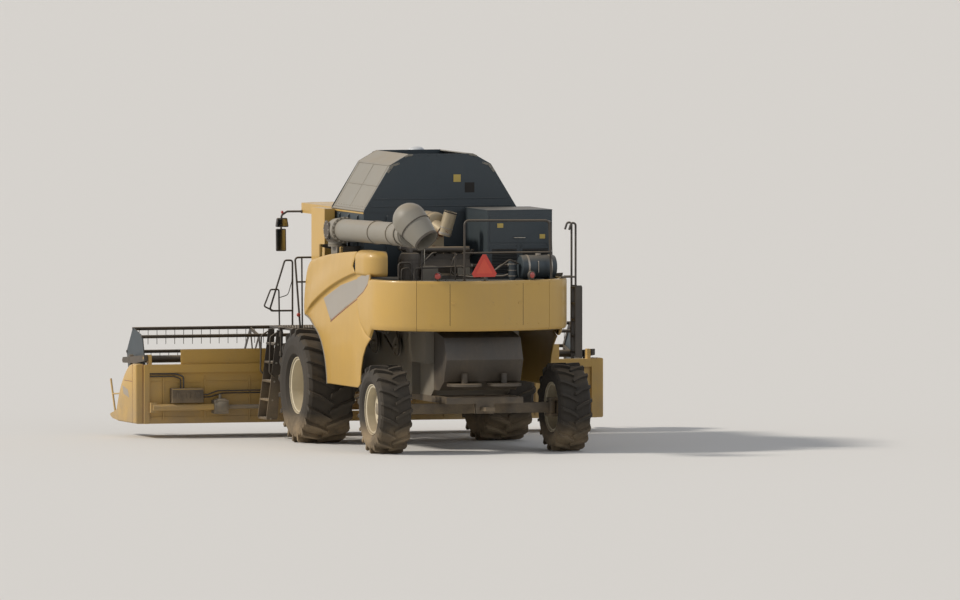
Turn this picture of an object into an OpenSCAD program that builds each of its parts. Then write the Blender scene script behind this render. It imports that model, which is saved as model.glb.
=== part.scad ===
/* [Wheels] */
// Distance between the front and the rear axle
wheelbase = 3750; // [3600:10:3900]
// Diameter of the front tyres over their lugs
front_tyre_d = 1850; // [1750:10:1850]
// Width of the front tyres
front_tyre_w = 800; // [700:10:800]
// Distance between the middles of the front tyres
front_track = 3040; // [3000:10:3060]
// Diameter of the rear tyres over their lugs
rear_tyre_d = 1410; // [1380:10:1420]
// Width of the rear tyres
rear_tyre_w = 540; // [500:10:540]
// Distance between the middles of the rear tyres
rear_track = 3000; // [2990:10:3020]
// Lug pairs around a front tyre
front_lugs = 20; // [16:1:24]
// Lug pairs around a rear tyre
rear_lugs = 18; // [14:1:20]

/* [Body] */
// Half width of the threshing body
core_half_w = 780; // [760:10:780]
// Height of the threshing body's top
core_top = 2600; // [2580:10:2600]
// Half width of the grain tank
tank_half_w = 1290; // [1250:10:1290]
// Height of the grain tank's rim
tank_top = 3770; // [3700:10:3770]
// Rise of the folding tank extension above the rim
tent_rise = 935; // [900:5:935]
// Height of the engine deck's top
deck_top = 2740; // [2740:1:2740]
// Top edge of the rear hood
hood_top = 2765; // [2765:1:2765]

/* [Cab] */
// Height of the cab floor
cab_floor = 1970; // [1970:1:1970]
// Underside of the cab roof
cab_eaves = 3620; // [3600:10:3640]
// Half width of the cab
cab_half_w = 960; // [940:10:960]

/* [Header] */
// Half width of the header over its end shields
header_half_w = 3960; // [3960:10:3960]
// Height of the header's floor above the ground
header_floor = 235; // [200:5:260]
// Radius of the reel to its bats
reel_r = 520; // [480:10:520]
// Bats on the reel
reel_bats = 6; // [5:1:6]
// Spacing of the reel's tines
tine_pitch = 150; // [120:10:300]

/* [Hidden] */
$fn = 48;

// All positions count from the ground under the front axle: X forward, Y left, Z up.
// The whole machine then moves by this much, so that its origin is the middle of its box.
machine_middle_x = -1035;

// Running clearance of a pin in its bore, by radius
fit = 0.05;
// Space under a panel's flange that rests on the deck
seat = 0.3;
// Clearance between panels that move past each other
gap = 6;
yellow = "#d9a441";
dark = "#2b3238";
grey = "#9a9c98";
rubber = "#26272a";

front_r = front_tyre_d / 2;
rear_r = rear_tyre_d / 2;
front_rim_r = 435;
rear_rim_r = 380;
front_stub_r = 70;
rear_stub_r = 50;
stub_end = 60; // stub shaft past the wheel's middle
kingpin_y = 1270;
kingpin_r = 40;
steer_arm = 220;
tie_pin_r = 14;
tank_front_x = -75;
tank_back_x = -1875;
tank_bottom = core_top;
knuckle_y = 839; // crease of the tank extension, half width
knuckle_rise = 766;
tent_top_y = 539;
pivot_x = 620; // feeder pivot
pivot_z = 1560;
header_back_x = 2050;
header_in_y = header_half_w - 130; // inner faces of the end shields
beam_z = 1060;
arm_y = header_in_y - 45; // middle of a reel arm
arm_x = 2120;
arm_z = 1300;
reel_x = 2920;
reel_z = 1240;
reel_turn = 12; // angle of the first bat
tine_len = 130;
shield_y = tank_half_w + 350; // outer face of a side shield at its middle
shield_r = 30000;
shield_t = 30;
seam_x = -2600;
unload_x = -1120; // vertical axis of the unloader
unload_y = tank_half_w + 215;
unload_z = 3475;

function polar(r, a) = [r * cos(a), r * sin(a)];
function arc_points(c, r, a0, a1, n) = [for (i = [0:n]) c + polar(r, a0 + (a1 - a0) * i / n)];
function mirrored_y(points) = [for (i = [len(points) - 1:-1:0]) [points[i].x, -points[i].y]];
function mirrored(points) = [for (p = points) [-p.x, p.y]];
function reversed(points) = [for (i = [len(points) - 1:-1:0]) points[i]];

// Puts a shape made in the axle frame into the machine's own frame
module placed() { translate([-machine_middle_x, 0, 0]) children(); }

module both_sides() {
  children();
  mirror([0, 1, 0]) children();
}

module on_side(side) {
  if (side > 0) children();
  else mirror([0, 1, 0]) children();
}

// A box from its lowest to its highest corner
module span(a, b) { translate(a) cube(b - a); }

// A round bar from a to b
module bar(a, b, d) {
  v = b - a;
  translate(a) rotate([0, acos(v.z / norm(v)), atan2(v.y, v.x)]) cylinder(h = norm(v), d = d);
}

// A round tube bent at each inner point
module bent_bar(points, d) {
  for (i = [0:len(points) - 2]) bar(points[i], points[i + 1], d);
  for (i = [1:len(points) - 2]) translate(points[i]) sphere(d = d * 1.05);
}

// A side outline in X and Z, extruded from y0 to y1
module side_plate(points, y0, y1) {
  translate([0, y1, 0]) rotate([90, 0, 0]) linear_extrude(y1 - y0) polygon(points);
}

// A cross outline in Y and Z, extruded from x0 to x1
module cross_plate(points, x0, x1) {
  translate([x0, 0, 0]) rotate([90, 0, 90]) linear_extrude(x1 - x0) polygon(points);
}

// Round shaft or hole across the machine, about the line through x and z
module cross_rod(x, z, y0, y1, r) { translate([x, y1, z]) rotate([90, 0, 0]) cylinder(h = y1 - y0, r = r); }

// Round shaft or hole along the machine, about the line through y and z
module long_rod(y, z, x0, x1, r) { translate([x0, y, z]) rotate([0, 90, 0]) cylinder(h = x1 - x0, r = r); }

// wheels: built about +Z, then turned so that +Z points outward
module at_wheel(side, x, track, z) {
  on_side(side) translate([x, track / 2, z]) rotate([-90, 0, 0]) children();
}

module tyre(r, w, rim_r, lugs, lug_h) {
  h = w / 2;
  c = r - lug_h; // carcass radius
  half = [[rim_r, h * 0.76], [rim_r + 30, h * 0.76], [rim_r + 40, h * 0.8], [rim_r + 80, h * 0.93], [(rim_r + c) / 2, h],
          [c - 110, h * 0.985], [c - 45, h * 0.93], [c - 12, h * 0.8], [c, h * 0.35]];
  color(rubber) {
    rotate_extrude($fn = 96) polygon(concat(half, mirrored_y(half)));
    intersection() {
      rotate_extrude($fn = 96) polygon([[c - 100, h * 0.97], [r - 22, h * 0.95], [r, h * 0.86],
                                        [r, -h * 0.86], [r - 22, -h * 0.95], [c - 100, -h * 0.97]]);
      for (side = [0, 1], i = [0:lugs - 1])
        rotate([0, 0, (i + side / 2) * 360 / lugs]) mirror([0, 0, side])
          translate([c - 105, 0, 0]) rotate([90, 0, 90]) linear_extrude(lug_h + 110) lug(h, r * 0.034);
    }
  }
}

// One lug seen from outside: along the tread in X, across it in Y
module lug(h, t) {
  mid = [[0, -h * 0.06], [h * 0.28, h * 0.42], [h * 0.52, h * 1.05]];
  polygon(concat([for (p = mid) [p.x - t, p.y]], [for (i = [2:-1:0]) [mid[i].x + t, mid[i].y]]));
}

module rim(r, w, stub_r, disc_z) {
  h = w * 0.38; // half width over the beads
  color("#d8d2b4") difference() {
    rotate_extrude($fn = 96) polygon([
      [0, disc_z - 90], [150, disc_z - 90], [150, disc_z - 25], [r - 90, disc_z + 30], [r - 25, disc_z - 60],
      [r - 25, -h + 10], [r + 12, -h - 2], [r + 12, -h - 16], [r + 24, -h - 16], [r + 24, -h], [r, -h],
      [r, h], [r + 24, h], [r + 24, h + 16], [r + 12, h + 16], [r + 12, h + 2], [r - 25, h - 10],
      [r - 25, disc_z - 30], [r - 84, disc_z + 58], [170, disc_z + 5], [130, disc_z + 20],
      [120, disc_z + 90], [0, disc_z + 90]]);
    translate([0, 0, disc_z - 100]) cylinder(h = 170, r = stub_r + fit);
    for (i = [0:7]) rotate([0, 0, i * 45]) translate([r * 0.62, 0, disc_z - 100]) cylinder(h = 250, r = 26);
  }
}

module front_tyre(side) { at_wheel(side, 0, front_track, front_r) tyre(front_r, front_tyre_w, front_rim_r, front_lugs, 58); }
module front_rim(side) { at_wheel(side, 0, front_track, front_r) rim(front_rim_r, front_tyre_w, front_stub_r, 0); }
module rear_tyre(side) {
  at_wheel(side, -wheelbase, rear_track, rear_r) tyre(rear_r, rear_tyre_w, rear_rim_r, rear_lugs, 46);
}
module rear_rim(side) { at_wheel(side, -wheelbase, rear_track, rear_r) rim(rear_rim_r, rear_tyre_w, rear_stub_r, 20); }

// frame and axles
module front_axle() {
  color(dark) {
    span([-110, -1000, front_r - 110], [110, 1000, front_r + 110]);
    both_sides() {
      cross_rod(0, front_r, 930, 1120, 240);
      cross_rod(0, front_r, 1120, front_track / 2 - 110, 130);
      cross_rod(0, front_r, front_track / 2 - 110, front_track / 2 + stub_end, front_stub_r);
    }
    both_sides() { // ears and pins that hold the lift cylinders
      for (y = [lift_y - 45, lift_y + 25]) span([100, y, 790], [260, y + 20, 910]);
      cross_rod(lift_base.x, lift_base.y, lift_y - 30, lift_y + 30, 25);
    }
  }
}

module rear_axle() {
  axle_end = kingpin_y - 60;
  color(dark) difference() {
    union() {
      span([-wheelbase - 80, -axle_end, rear_r - 80], [-wheelbase + 80, axle_end, rear_r + 80]);
      both_sides() translate([-wheelbase, kingpin_y, rear_r - 100]) cylinder(h = 200, r = 75);
    }
    both_sides() translate([-wheelbase, kingpin_y, rear_r - 110]) cylinder(h = 220, r = kingpin_r);
  }
}

module knuckle(side) {
  color(dark) on_side(side) {
    translate([-wheelbase, kingpin_y, rear_r - 150]) cylinder(h = 300, r = kingpin_r - fit);
    for (z = [-150, 106]) translate([-wheelbase, 0, rear_r + z]) {
      translate([0, kingpin_y, 0]) cylinder(h = 44, r = 70);
      span([-70, kingpin_y, 0], [70, kingpin_y + 130, 44]);
    }
    span([-wheelbase - 70, kingpin_y + 90, rear_r - 150], [-wheelbase + 70, kingpin_y + 130, rear_r + 150]);
    cross_rod(-wheelbase, rear_r, kingpin_y + 120, rear_track / 2 - 70, 85);
    cross_rod(-wheelbase, rear_r, rear_track / 2 - 80, rear_track / 2 + stub_end + 20, rear_stub_r);
    span([-wheelbase, kingpin_y - 35, rear_r - 150], [-wheelbase + steer_arm, kingpin_y + 35, rear_r - 106]);
    translate([-wheelbase + steer_arm, kingpin_y, rear_r - 150]) cylinder(h = 44, r = 35);
    translate([-wheelbase + steer_arm, kingpin_y, rear_r - 110]) cylinder(h = 60, r = tie_pin_r);
  }
}

module tie_rod() {
  x = -wheelbase + steer_arm;
  z = rear_r - 80;
  color(grey) difference() {
    union() {
      bar([x, -kingpin_y, z], [x, kingpin_y, z], 36);
      both_sides() translate([x, kingpin_y, z - 20]) cylinder(h = 40, r = 32);
    }
    both_sides() translate([x, kingpin_y, z - 25]) cylinder(h = 50, r = tie_pin_r + fit);
  }
}

module chassis() {
  rail_in = 560;
  rail_out = 640;
  frame_back_x = -wheelbase - 550;
  color(dark) difference() {
    union() {
      both_sides() {
        span([frame_back_x, rail_in, 800], [-110, rail_out, 900]);
        span([-110, rail_in - 60, front_r + 110], [110, rail_out, 1060]);
        side_plate([[150, 1060], [350, 1060], [350, 1300], [700, 1480], [700, 1640], [350, 1800], [150, 1800]],
                   core_half_w, core_half_w + 30);
      }
      for (x = [frame_back_x, -wheelbase - 100, -2400, -1000])
        span([x, -rail_in, 800], [x + 100, rail_in, 900]);
      span([-wheelbase - 100, -120, rear_r + 80], [-wheelbase + 100, 120, 800]);
      span([frame_back_x, -150, 640], [frame_back_x + 100, 150, 800]);
      span([frame_back_x - 300, -80, 690], [frame_back_x, 80, 750]);
    }
    translate([frame_back_x - 245, 0, 600]) cylinder(h = 300, r = 16.5);
    both_sides() cross_rod(pivot_x, pivot_z, core_half_w - 10, core_half_w + 40, 45);
  }
}

module threshing_body() {
  color(grey) {
    span([-3600, -core_half_w, 1420], [350, core_half_w, core_top]);
    side_plate([[-2850, 900], [-150, 900], [-150, 1060], [350, 1060], [350, 1420], [-2850, 1420]],
               -core_half_w, core_half_w);
    side_plate([[-3600, 1000], [-3450, 900], [-2850, 900], [-2850, 1420], [-3600, 1420]], -rail_half(), rail_half());
  }
}
function rail_half() = 640;

module chopper() {
  color(dark) {
    side_plate([[-3600, 1000], [-3600, 1950], [-4150, 1850], [-4300, 1500], [-4150, 1150], [-3900, 1000]],
               -rail_half(), rail_half());
    both_sides() translate([-4250, 330, 1080]) cylinder(h = 40, r = 280);
    both_sides() translate([-4250, 330, 1080]) cylinder(h = 200, r = 50);
  }
}

// grain tank and its folding extension
module grain_tank() {
  wall = 25;
  color(dark) {
    difference() {
      span([tank_back_x, -tank_half_w, tank_bottom], [tank_front_x, tank_half_w, tank_top]);
      span([tank_back_x + wall, -tank_half_w + wall, tank_bottom + 30],
           [tank_front_x - wall, tank_half_w - wall, tank_top - 30]);
      span([tank_back_x + 55, -tank_half_w + 55, tank_top - 60],
           [tank_front_x - 55, tank_half_w - 55, tank_top + 10]);
    }
  }
}

// Arms on the tank's sides that carry the side shields
module shield_arms() {
  color(dark) both_sides() for (p = shield_hinges) {
    cross_plate([[tank_half_w, 3110], [tank_half_w, 3230], [shield_pin.x + 16, 3213], [shield_pin.x + 16, 3177]],
                p.x - 8, p.x + 8);
    long_rod(shield_pin.x, shield_pin.y, p.x - 36, p.x + 36, shield_pin_r);
  }
}

module filling_auger() {
  color(grey) {
    bar([-1450, -550, tank_bottom + 120], [-1000, -100, 3560], 260);
    translate([-1000, -100, 3560]) sphere(r = 150);
    span([-1600, -700, tank_bottom + 30], [-1300, -400, tank_bottom + 180]);
  }
}

wall_half = 8; // half thickness of an end wall
cover_pin_r = 8;
cover_hinge = [tank_half_w - 14, tank_top + 20];

module tank_cover(side) {
  p = [[tank_half_w, 0], [knuckle_y, knuckle_rise], [tent_top_y, tent_rise]];
  x0 = tank_back_x + wall_half + gap;
  x1 = tank_front_x - wall_half - gap;
  color(grey) on_side(side) difference() {
    union() {
      cross_plate([[p[0].x - 8, tank_top + 20], p[1] + [0, tank_top], p[2] + [0, tank_top],
                   p[2] + [-9, tank_top - 16], p[1] + [-14, tank_top - 14], [p[0].x - 30, tank_top + 20]], x0, x1);
      long_rod(cover_hinge.x, cover_hinge.y, x0, x1, 14);
    }
    for (x = [x0 - 5, x1 - 45]) long_rod(cover_hinge.x, cover_hinge.y, x, x + 50, cover_pin_r + fit);
  }
}

// An end wall of the extension, between whose two the covers fold
module end_wall(x, inward) {
  half = [[tank_half_w, tank_top], [tank_half_w, tank_top + 36], [knuckle_y, tank_top + knuckle_rise],
          [tent_top_y, tank_top + tent_rise]];
  color(dark) {
    cross_plate(concat(mirrored(half), reversed(half)), x - wall_half, x + wall_half);
    both_sides() translate([x, cover_hinge.x, cover_hinge.y]) rotate([0, 90 * inward, 0])
      cylinder(h = wall_half + gap + 35, r = cover_pin_r);
  }
}

module front_wall() { end_wall(tank_front_x, -1); }
module rear_wall() { end_wall(tank_back_x, 1); }

// Receiver dome on a mast in front of the tank
module receiver() {
  mast_x = tank_front_x + 200;
  dome_z = 4690;
  color(dark) {
    bar([mast_x, -130, 3000], [mast_x, -130, dome_z], 44);
    for (z = [3050, 3600]) span([tank_front_x, -150, z], [mast_x, -110, z + 40]);
  }
  color("white") translate([mast_x, -130, dome_z]) {
    cylinder(h = 60, r = 185);
    translate([0, 0, 60]) cylinder(h = 60, r1 = 185, r2 = 120);
  }
}

// engine deck
module engine_deck() {
  color(dark) {
    intersection() {
      span([-4500, -1560, deck_top - 40], [tank_back_x - 25, 1560, deck_top]);
      translate([0, 0, deck_top - 60]) linear_extrude(100) hood_plan(-38);
    }
    for (x = [-4150, -3560, -2900, -1960]) span([x, -core_half_w, core_top], [x + 60, core_half_w, deck_top - 40]);
    both_sides() span([-4150, 600, core_top], [-1960, 680, deck_top - 40]);
  }
}

module engine() {
  color(dark) {
    span([-3000, -250, deck_top], [-2250, 850, deck_top + 560]);
    span([-2900, -150, deck_top + 560], [-2400, 750, deck_top + 700]);
  }
  color(grey) {
    cross_rod(-2620, deck_top + 380, 850, 1000, 170);
    cross_rod(-2380, deck_top + 160, 850, 960, 90);
    cross_rod(-2860, deck_top + 150, 850, 960, 110);
  }
}

module exhaust() {
  color("#c9c2ad") {
    bar([-2610, 289, 3644], [-1950, 289, 3644], 400);
    bar([-2560, 300, 3640], [-2750, 234, 3545], 200);
    difference() {
      bar([-2758, 215, 3480], [-2800, 115, 3850], 210);
      bar([-2765, 198, 3540], [-2804, 105, 3886], 180);
    }
  }
  color(dark) for (x = [-2590, -2460]) span([x, 260, deck_top + 700], [x + 50, 320, 3500]);
}

module cooling_box() {
  color(dark) {
    difference() {
      span([-3200, -1460, deck_top], [-1960, -380, 3840]);
      cross_rod(-2580, 3300, -1480, -1420, 430);
    }
    cross_rod(-2580, 3300, -1450, -1420, 400);
  }
}

module deck_rails() {
  x = -3880;
  top = 3711;
  middle = 3196;
  color(dark) {
    for (p = [[x, 214], [x, -1240], [-3360, -1420]])
      span([p.x - 30, p.y - 30, deck_top], [p.x + 30, p.y + 30, deck_top + 8]);
    bent_bar([[x, 214, deck_top], [x, 214, top], [x, -1180, top], [x, -1240, deck_top + 3]], 34);
    bar([x, 214, middle], [x, -1212, middle], 30);
    bent_bar([[x, -1180, top], [-3420, -1330, top], [-3360, -1420, deck_top + 4]], 34);
    bar([x, -1212, middle], [-3390, -1376, middle], 30);
  }
}

module rear_ladder() {
  color(dark) {
    for (x = [-3900, -3650]) {
      bent_bar([[x, -1600, 3560], [x, -1650, 3680], [x, -1700, 3640], [x, -1700, 1560]], 34);
      bar([x, ladder_seat_y(x), hood_top + 23], [x, -1700, hood_top + 23], 30);
      span([x - 25, ladder_seat_y(x) - 25, hood_top], [x + 25, ladder_seat_y(x) + 25, hood_top + 16]);
    }
    for (i = [0:4]) span([-3915, -1800, 1560 + i * 260], [-3635, -1690, 1585 + i * 260]);
    for (x = [-3930, -3635]) side_box(x);
  }
}
// The ladder stands on the corner panel's top edge
function ladder_seat_y(x) = -corner_y - sqrt(pow(corner_r - 50, 2) - pow(x - corner_x, 2));
module side_box(x) { span([x, -1800, 1500], [x + 15, -1690, 2650]); }

// outer panels
hood_back_x = -4470;
hood_r = 2340;
corner_r = 970;
corner_y = tank_half_w + 330 - corner_r;
hood_centre_x = hood_back_x + hood_r;
corner_x = hood_centre_x - sqrt(pow(hood_r - corner_r, 2) - pow(corner_y, 2)); // where both arcs touch
corner_angle = atan2(corner_y, hood_centre_x - corner_x);

// Plan of everything inside the rear hood's outer face, set in by inset
module hood_plan(inset) {
  polygon(concat([[tank_back_x, -corner_y - corner_r - inset]],
                 [for (p = arc_points([corner_x, -corner_y], corner_r + inset, 270, 180 + corner_angle, 8)) p],
                 arc_points([hood_centre_x, 0], hood_r + inset, 180 + corner_angle, 180 - corner_angle, 12),
                 arc_points([corner_x, corner_y], corner_r + inset, 180 - corner_angle, 90, 8),
                 [[tank_back_x, corner_y + corner_r + inset]]));
}

// Wall section of the hood: outer face at radius 0, wall inward, edges rolled in
module hood_section(z0, z1, r) {
  t = 20;
  polygon([[r - 60, z0], [r - 22, z0 + 8], [r - 4, z0 + 40], [r, z0 + 90], [r, z1 - 40], [r - 10, z1 - 8],
           [r - 30, z1], [r - 100, z1], [r - 100, deck_top + seat], [r - 34, deck_top + seat],
           [r - t, deck_top - 20], [r - t, z0 + 92], [r - t - 4, z0 + 50], [r - 38, z0 + 24], [r - 60, z0 + t]]);
}
hood_bottom = 1960;

module rear_hood() {
  color(yellow) translate([hood_centre_x, 0, 0]) rotate([0, 0, 180 - corner_angle + 0.1])
    rotate_extrude(angle = 2 * corner_angle - 0.2, $fn = 200) hood_section(hood_bottom, hood_top, hood_r);
}

module corner_panels() {
  color(yellow) both_sides() {
    translate([corner_x, corner_y, 0]) rotate([0, 0, 90])
      rotate_extrude(angle = 90 - corner_angle - 0.2, $fn = 120) hood_section(hood_bottom, hood_top, corner_r);
    intersection() {
      translate([corner_x, corner_y, 0]) rotate([90, 0, 90])
        linear_extrude(seam_x - gap - corner_x) hood_section(1500, hood_top, corner_r);
      side_plate([[corner_x - 1, hood_bottom], [-3200, 1828], [-3176, 1823], [-2984, 1879], [-2749, 2009],
                  [seam_x - gap, 2263], [seam_x, 2280], [seam_x, 2800], [corner_x - 1, 2800]], 1400, 1700);
    }
  }
  // bulged air intake over the left panel
  color(yellow) {
    difference() {
      intersection() {
        span([-3330, 1340, 2800], [seam_x - gap, 1620, 3200]);
        union() {
          translate([-3030, 1320, 0]) cylinder(h = 4000, r = 300);
          span([-3030, 1300, 2800], [seam_x, 1620, 3200]);
        }
      }
      span([-3290, 1310, 2840], [seam_x, 1580, 3160]);
    }
    span([-3000, 1530, hood_top - 5], [-2800, 1570, 2845]);
  }
}

module shield_outline() {
  polygon([[380, 2050], [390, 2350], [340, 2600], [160, 2840], [-50, 2934], [-600, 3020], [-1190, 3086],
           [-2000, 3150], [seam_x, 3185], [-2440, 2947], [seam_x + 8, 2790], [seam_x + 8, 2255], [-2740, 2000],
           [-2980, 1868], [-3180, 1810], [-3080, 1760], [-2930, 1660], [-2800, 1500], [-2720, 1300],
           [-2680, 1050], [-2560, 1000], [-1100, 1000], for (a = [176:-8:104]) polar(975, a) + [0, front_r],
           [60, 1990]]);
}

// Hinge line of a side shield, across and up, and the places of its two hinges
shield_pin = [shield_y - 40, 3195];
shield_pin_r = 12;
shield_hinges = [[-500, 2950], [-1650, 3060]]; // along the machine, foot of the lugs
module shield_lugs() {
  for (p = shield_hinges, d = [-30, 14]) difference() {
    translate([0, shield_pin.x, 0])
      cross_plate([[-10, p.y], [22, p.y], [22, 3210], [12, 3222], [-12, 3222], [-22, 3210]], p.x + d, p.x + d + 16);
    long_rod(shield_pin.x, shield_pin.y, p.x + d - 5, p.x + d + 21, shield_pin_r + fit);
  }
}

shield_steps = 14;
function shield_arc(r) = arc_points([-1100, shield_y - shield_r], r, 90 - 3.2, 90 + 4.2, shield_steps);

module side_shield(side) {
  color(yellow) on_side(side) {
    intersection() {
      translate([0, shield_y + 60, 0]) rotate([90, 0, 0]) linear_extrude(200) shield_outline();
      translate([0, 0, 900]) linear_extrude(2400) polygon(concat(
        shield_arc(shield_r), reversed(shield_arc(shield_r - shield_t))));
    }
    shield_lugs();
  }
}

module side_post() {
  color(yellow) both_sides() {
    span([-380, tank_half_w + 40, 2000], [360, tank_half_w + 210, tank_top + 10]);
    span([-380, tank_half_w, 2700], [tank_front_x - 5, tank_half_w + 40, 2800]);
  }
}

// cab
cab_back_x = 420;
cab_front_x = 2100;
cab_front_r = 1968;
door_x0 = 620;
door_x1 = 1780;
door_z0 = 2036;
door_z1 = 3550;
wall = 50;

module cab_plan(inset) {
  intersection() {
    translate([cab_back_x + inset, -cab_half_w + inset]) square([2000, 2 * (cab_half_w - inset)]);
    translate([cab_front_x - cab_front_r, 0]) circle(r = cab_front_r - inset, $fn = 160);
  }
}

module cab_shell() {
  color(yellow) {
    difference() {
      translate([0, 0, cab_floor]) linear_extrude(cab_eaves - cab_floor) cab_plan(0);
      translate([0, 0, cab_floor + wall]) linear_extrude(cab_eaves) cab_plan(wall);
      span([door_x0, 800, door_z0 - 6], [door_x1, 1000, door_z1 + 6]); // door
      span([620, -1000, 2300], [1780, -800, 3550]); // right window
      span([1500, -830, 2080], [2200, 830, 3540]); // windscreen
      span([300, -700, 2750], [500, 700, 3500]); // rear window
    }
    cab_hinges();
    span([350, -600, cab_floor - 120], [1700, 600, cab_floor]); // its carrier, fixed to the body's front
  }
}

module cab_roof() {
  color(dark) {
    difference() {
      translate([0, 0, cab_eaves]) linear_extrude(160) difference() {
        polygon([[360, -1150], [2100, -1150], [2350, -900], [2350, 900], [2100, 1150], [360, 1150]]);
      }
      span([1000, -600, cab_eaves - 10], [1700, 600, cab_eaves + 60]);
    }
    both_sides() for (y = [350, 700]) translate([2345, y, cab_eaves + 80]) rotate([0, 90, 0]) cylinder(h = 30, r = 60);
  }
}

module cab_glass() {
  color("#88a0a8") {
    intersection() {
      difference() {
        translate([0, 0, 2080]) linear_extrude(1460) cab_plan(20);
        translate([0, 0, 2070]) linear_extrude(1500) cab_plan(28);
      }
      span([1500, -830, 2080], [2200, 830, 3540]);
    }
    span([620, -938, 2300], [1780, -930, 3550]);
    span([440, -700, 2750], [448, 700, 3500]);
  }
}

module door_frame() {
  span([door_x0 + gap, cab_half_w - wall, door_z0], [door_x1 - gap, cab_half_w, door_z1]);
}

// Hinge line of the cab door, and the heights of its knuckles
door_pin = [612, cab_half_w + 16];
door_hinges = [2150, 3380];
module cab_hinges() {
  for (z = door_hinges) {
    translate([door_pin.x, door_pin.y, z - 30]) cylinder(h = 120, r = 8);
    for (d = [-30, 66]) span([door_pin.x - 26, cab_half_w, z + d], [door_pin.x + 4, door_pin.y + 14, z + d + 24]);
  }
}

module cab_door() {
  color(yellow) {
    difference() {
      door_frame();
      span([door_x0 + 70, 850, 2500], [door_x1 - 70, 1000, 3490]);
    }
    for (z = door_hinges) difference() {
      union() {
        translate([door_pin.x, door_pin.y, z]) cylinder(h = 60, r = 14);
        span([door_pin.x, cab_half_w + 6, z], [door_x0 + gap, cab_half_w + 16, z + 60]);
        span([door_x0 + gap, cab_half_w, z], [door_x0 + 80, cab_half_w + 16, z + 60]);
      }
      translate([door_pin.x, door_pin.y, z - 5]) cylinder(h = 70, r = 8 + fit);
    }
    bar([1650, cab_half_w, 2400], [1650, cab_half_w + 40, 2400], 24);
    bar([1650, cab_half_w + 40, 2300], [1650, cab_half_w + 40, 2500], 24);
  }
}

module door_glass() {
  color("#88a0a8") span([door_x0 + 70, cab_half_w - 29, 2500], [door_x1 - 70, cab_half_w - 21, 3490]);
}

module cab_interior() {
  color(dark) {
    span([640, -270, cab_floor + wall + 300], [1180, 270, cab_floor + wall + 430]); // seat cushion
    side_plate([[560, 2440], [700, 2440], [640, 3100], [520, 3100]], -250, 250); // back rest
    span([760, -180, cab_floor + wall], [1060, 180, cab_floor + wall + 300]);
    bar([1620, 0, cab_floor + wall + 9], [1480, 0, 2760], 90); // steering column
    translate([1480, 0, 2760]) rotate([0, -12, 0]) rotate_extrude($fn = 60) translate([190, 0]) circle(r = 16, $fn = 20);
    translate([1480, 0, 2760]) rotate([0, -12, 0]) for (a = [0, 120, 240])
      rotate([0, 0, a]) bar([0, 0, 0], [186, 0, 0], 18);
    span([760, -560, cab_floor + wall], [1260, -300, 2620]); // side console
  }
}

module mirrors() {
  color(dark) both_sides() {
    bent_bar([[2060, 1156, 3700], [2150, 1420, 3690], [2150, 1500, 3640], [2150, 1500, 3420]], 36);
    span([2100, 1360, 3440], [2180, 1640, 3660]);
    span([2120, 1420, 3060], [2170, 1590, 3400]);
    bar([2145, 1500, 3390], [2145, 1500, 3450], 30);
  }
}

// platform and ladder
platform_x0 = 450;
platform_x1 = 1900;
platform_y0 = 1000;
platform_y1 = 1750;
ladder_axis = [1070, 1800];
ladder_pin_r = 20;

module platform() {
  rail_top = 2900;
  color(dark) {
    difference() {
      span([platform_x0, cab_half_w + 5, cab_floor - 40], [platform_x1, platform_y1, cab_floor]);
      for (i = [0:8]) span([platform_x0 + 80 + i * 150, 1080, cab_floor - 10], [platform_x0 + 180 + i * 150, 1680, cab_floor + 10]);
    }
    for (x = [500, 1400]) side_bracket(x);
    // rear rail
    bent_bar([[470, 1040, cab_floor], [470, 1040, rail_top], [470, 1720, rail_top], [470, 1720, cab_floor]], 32);
    bar([470, 1040, 2450], [470, 1720, 2450], 28);
    bar([470, 1590, cab_floor], [470, 1590, rail_top], 26);
    // front rail
    bent_bar([[1870, 1370, cab_floor], [1870, 1370, rail_top - 90], [1870, 1440, rail_top], [1870, 1730, 2200],
              [1870, 1730, cab_floor]], 32);
    bar([1870, 1370, 2200], [1870, 1730, 2200], 28);
    // pin that carries the ladder
    translate([ladder_axis.x, ladder_axis.y, 1300]) cylinder(h = cab_floor - 1300, r = ladder_pin_r);
    span([ladder_axis.x - 40, platform_y1 - 60, cab_floor - 40], [ladder_axis.x + 40, ladder_axis.y + 40, cab_floor]);
  }
}
module side_bracket(x) { span([x, 600, cab_floor - 110], [x + 120, 1300, cab_floor - 40]); }

module front_ladder() {
  step_n = 5;
  low = 350;
  color(dark) difference() {
    union() {
      for (x = [1100, 1580]) cross_plate([[1760, 1900], [1860, 1900], [2040, low - 10], [1850, low - 10], [1760, 1500]],
                                         x, x + 20);
      for (i = [0:step_n - 1]) let (z = low + i * 300, y = 2030 - i * 32)
        span([1110, y - 170, z - 30], [1590, y, z]);
      for (z = [1350, 1800]) {
        translate([ladder_axis.x, ladder_axis.y, z]) cylinder(h = 80, r = 34);
        span([ladder_axis.x, ladder_axis.y - 20, z], [1110, ladder_axis.y + 20, z + 80]);
      }
      for (x = [1095, 1605]) bent_bar([[x, 2000, 700], [x, 2080, 800], [x, 2020, 1700], [x, 1850, 1800]], 26);
    }
    translate([ladder_axis.x, ladder_axis.y, 1290]) cylinder(h = 680, r = ladder_pin_r + fit);
  }
}

// unloader
tube_slope = 1.06;
turntable_z = 3240;
spigot_r = 120;
module unloader_duct() {
  color(grey) {
    span([unload_x - 170, tank_half_w, 2700], [unload_x + 170, unload_y + 55, turntable_z - 30]);
    translate([unload_x, unload_y, turntable_z - 35]) cylinder(h = 35, r = 150);
    translate([unload_x, unload_y, turntable_z - 35]) cylinder(h = 85, r = spigot_r);
  }
}

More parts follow.
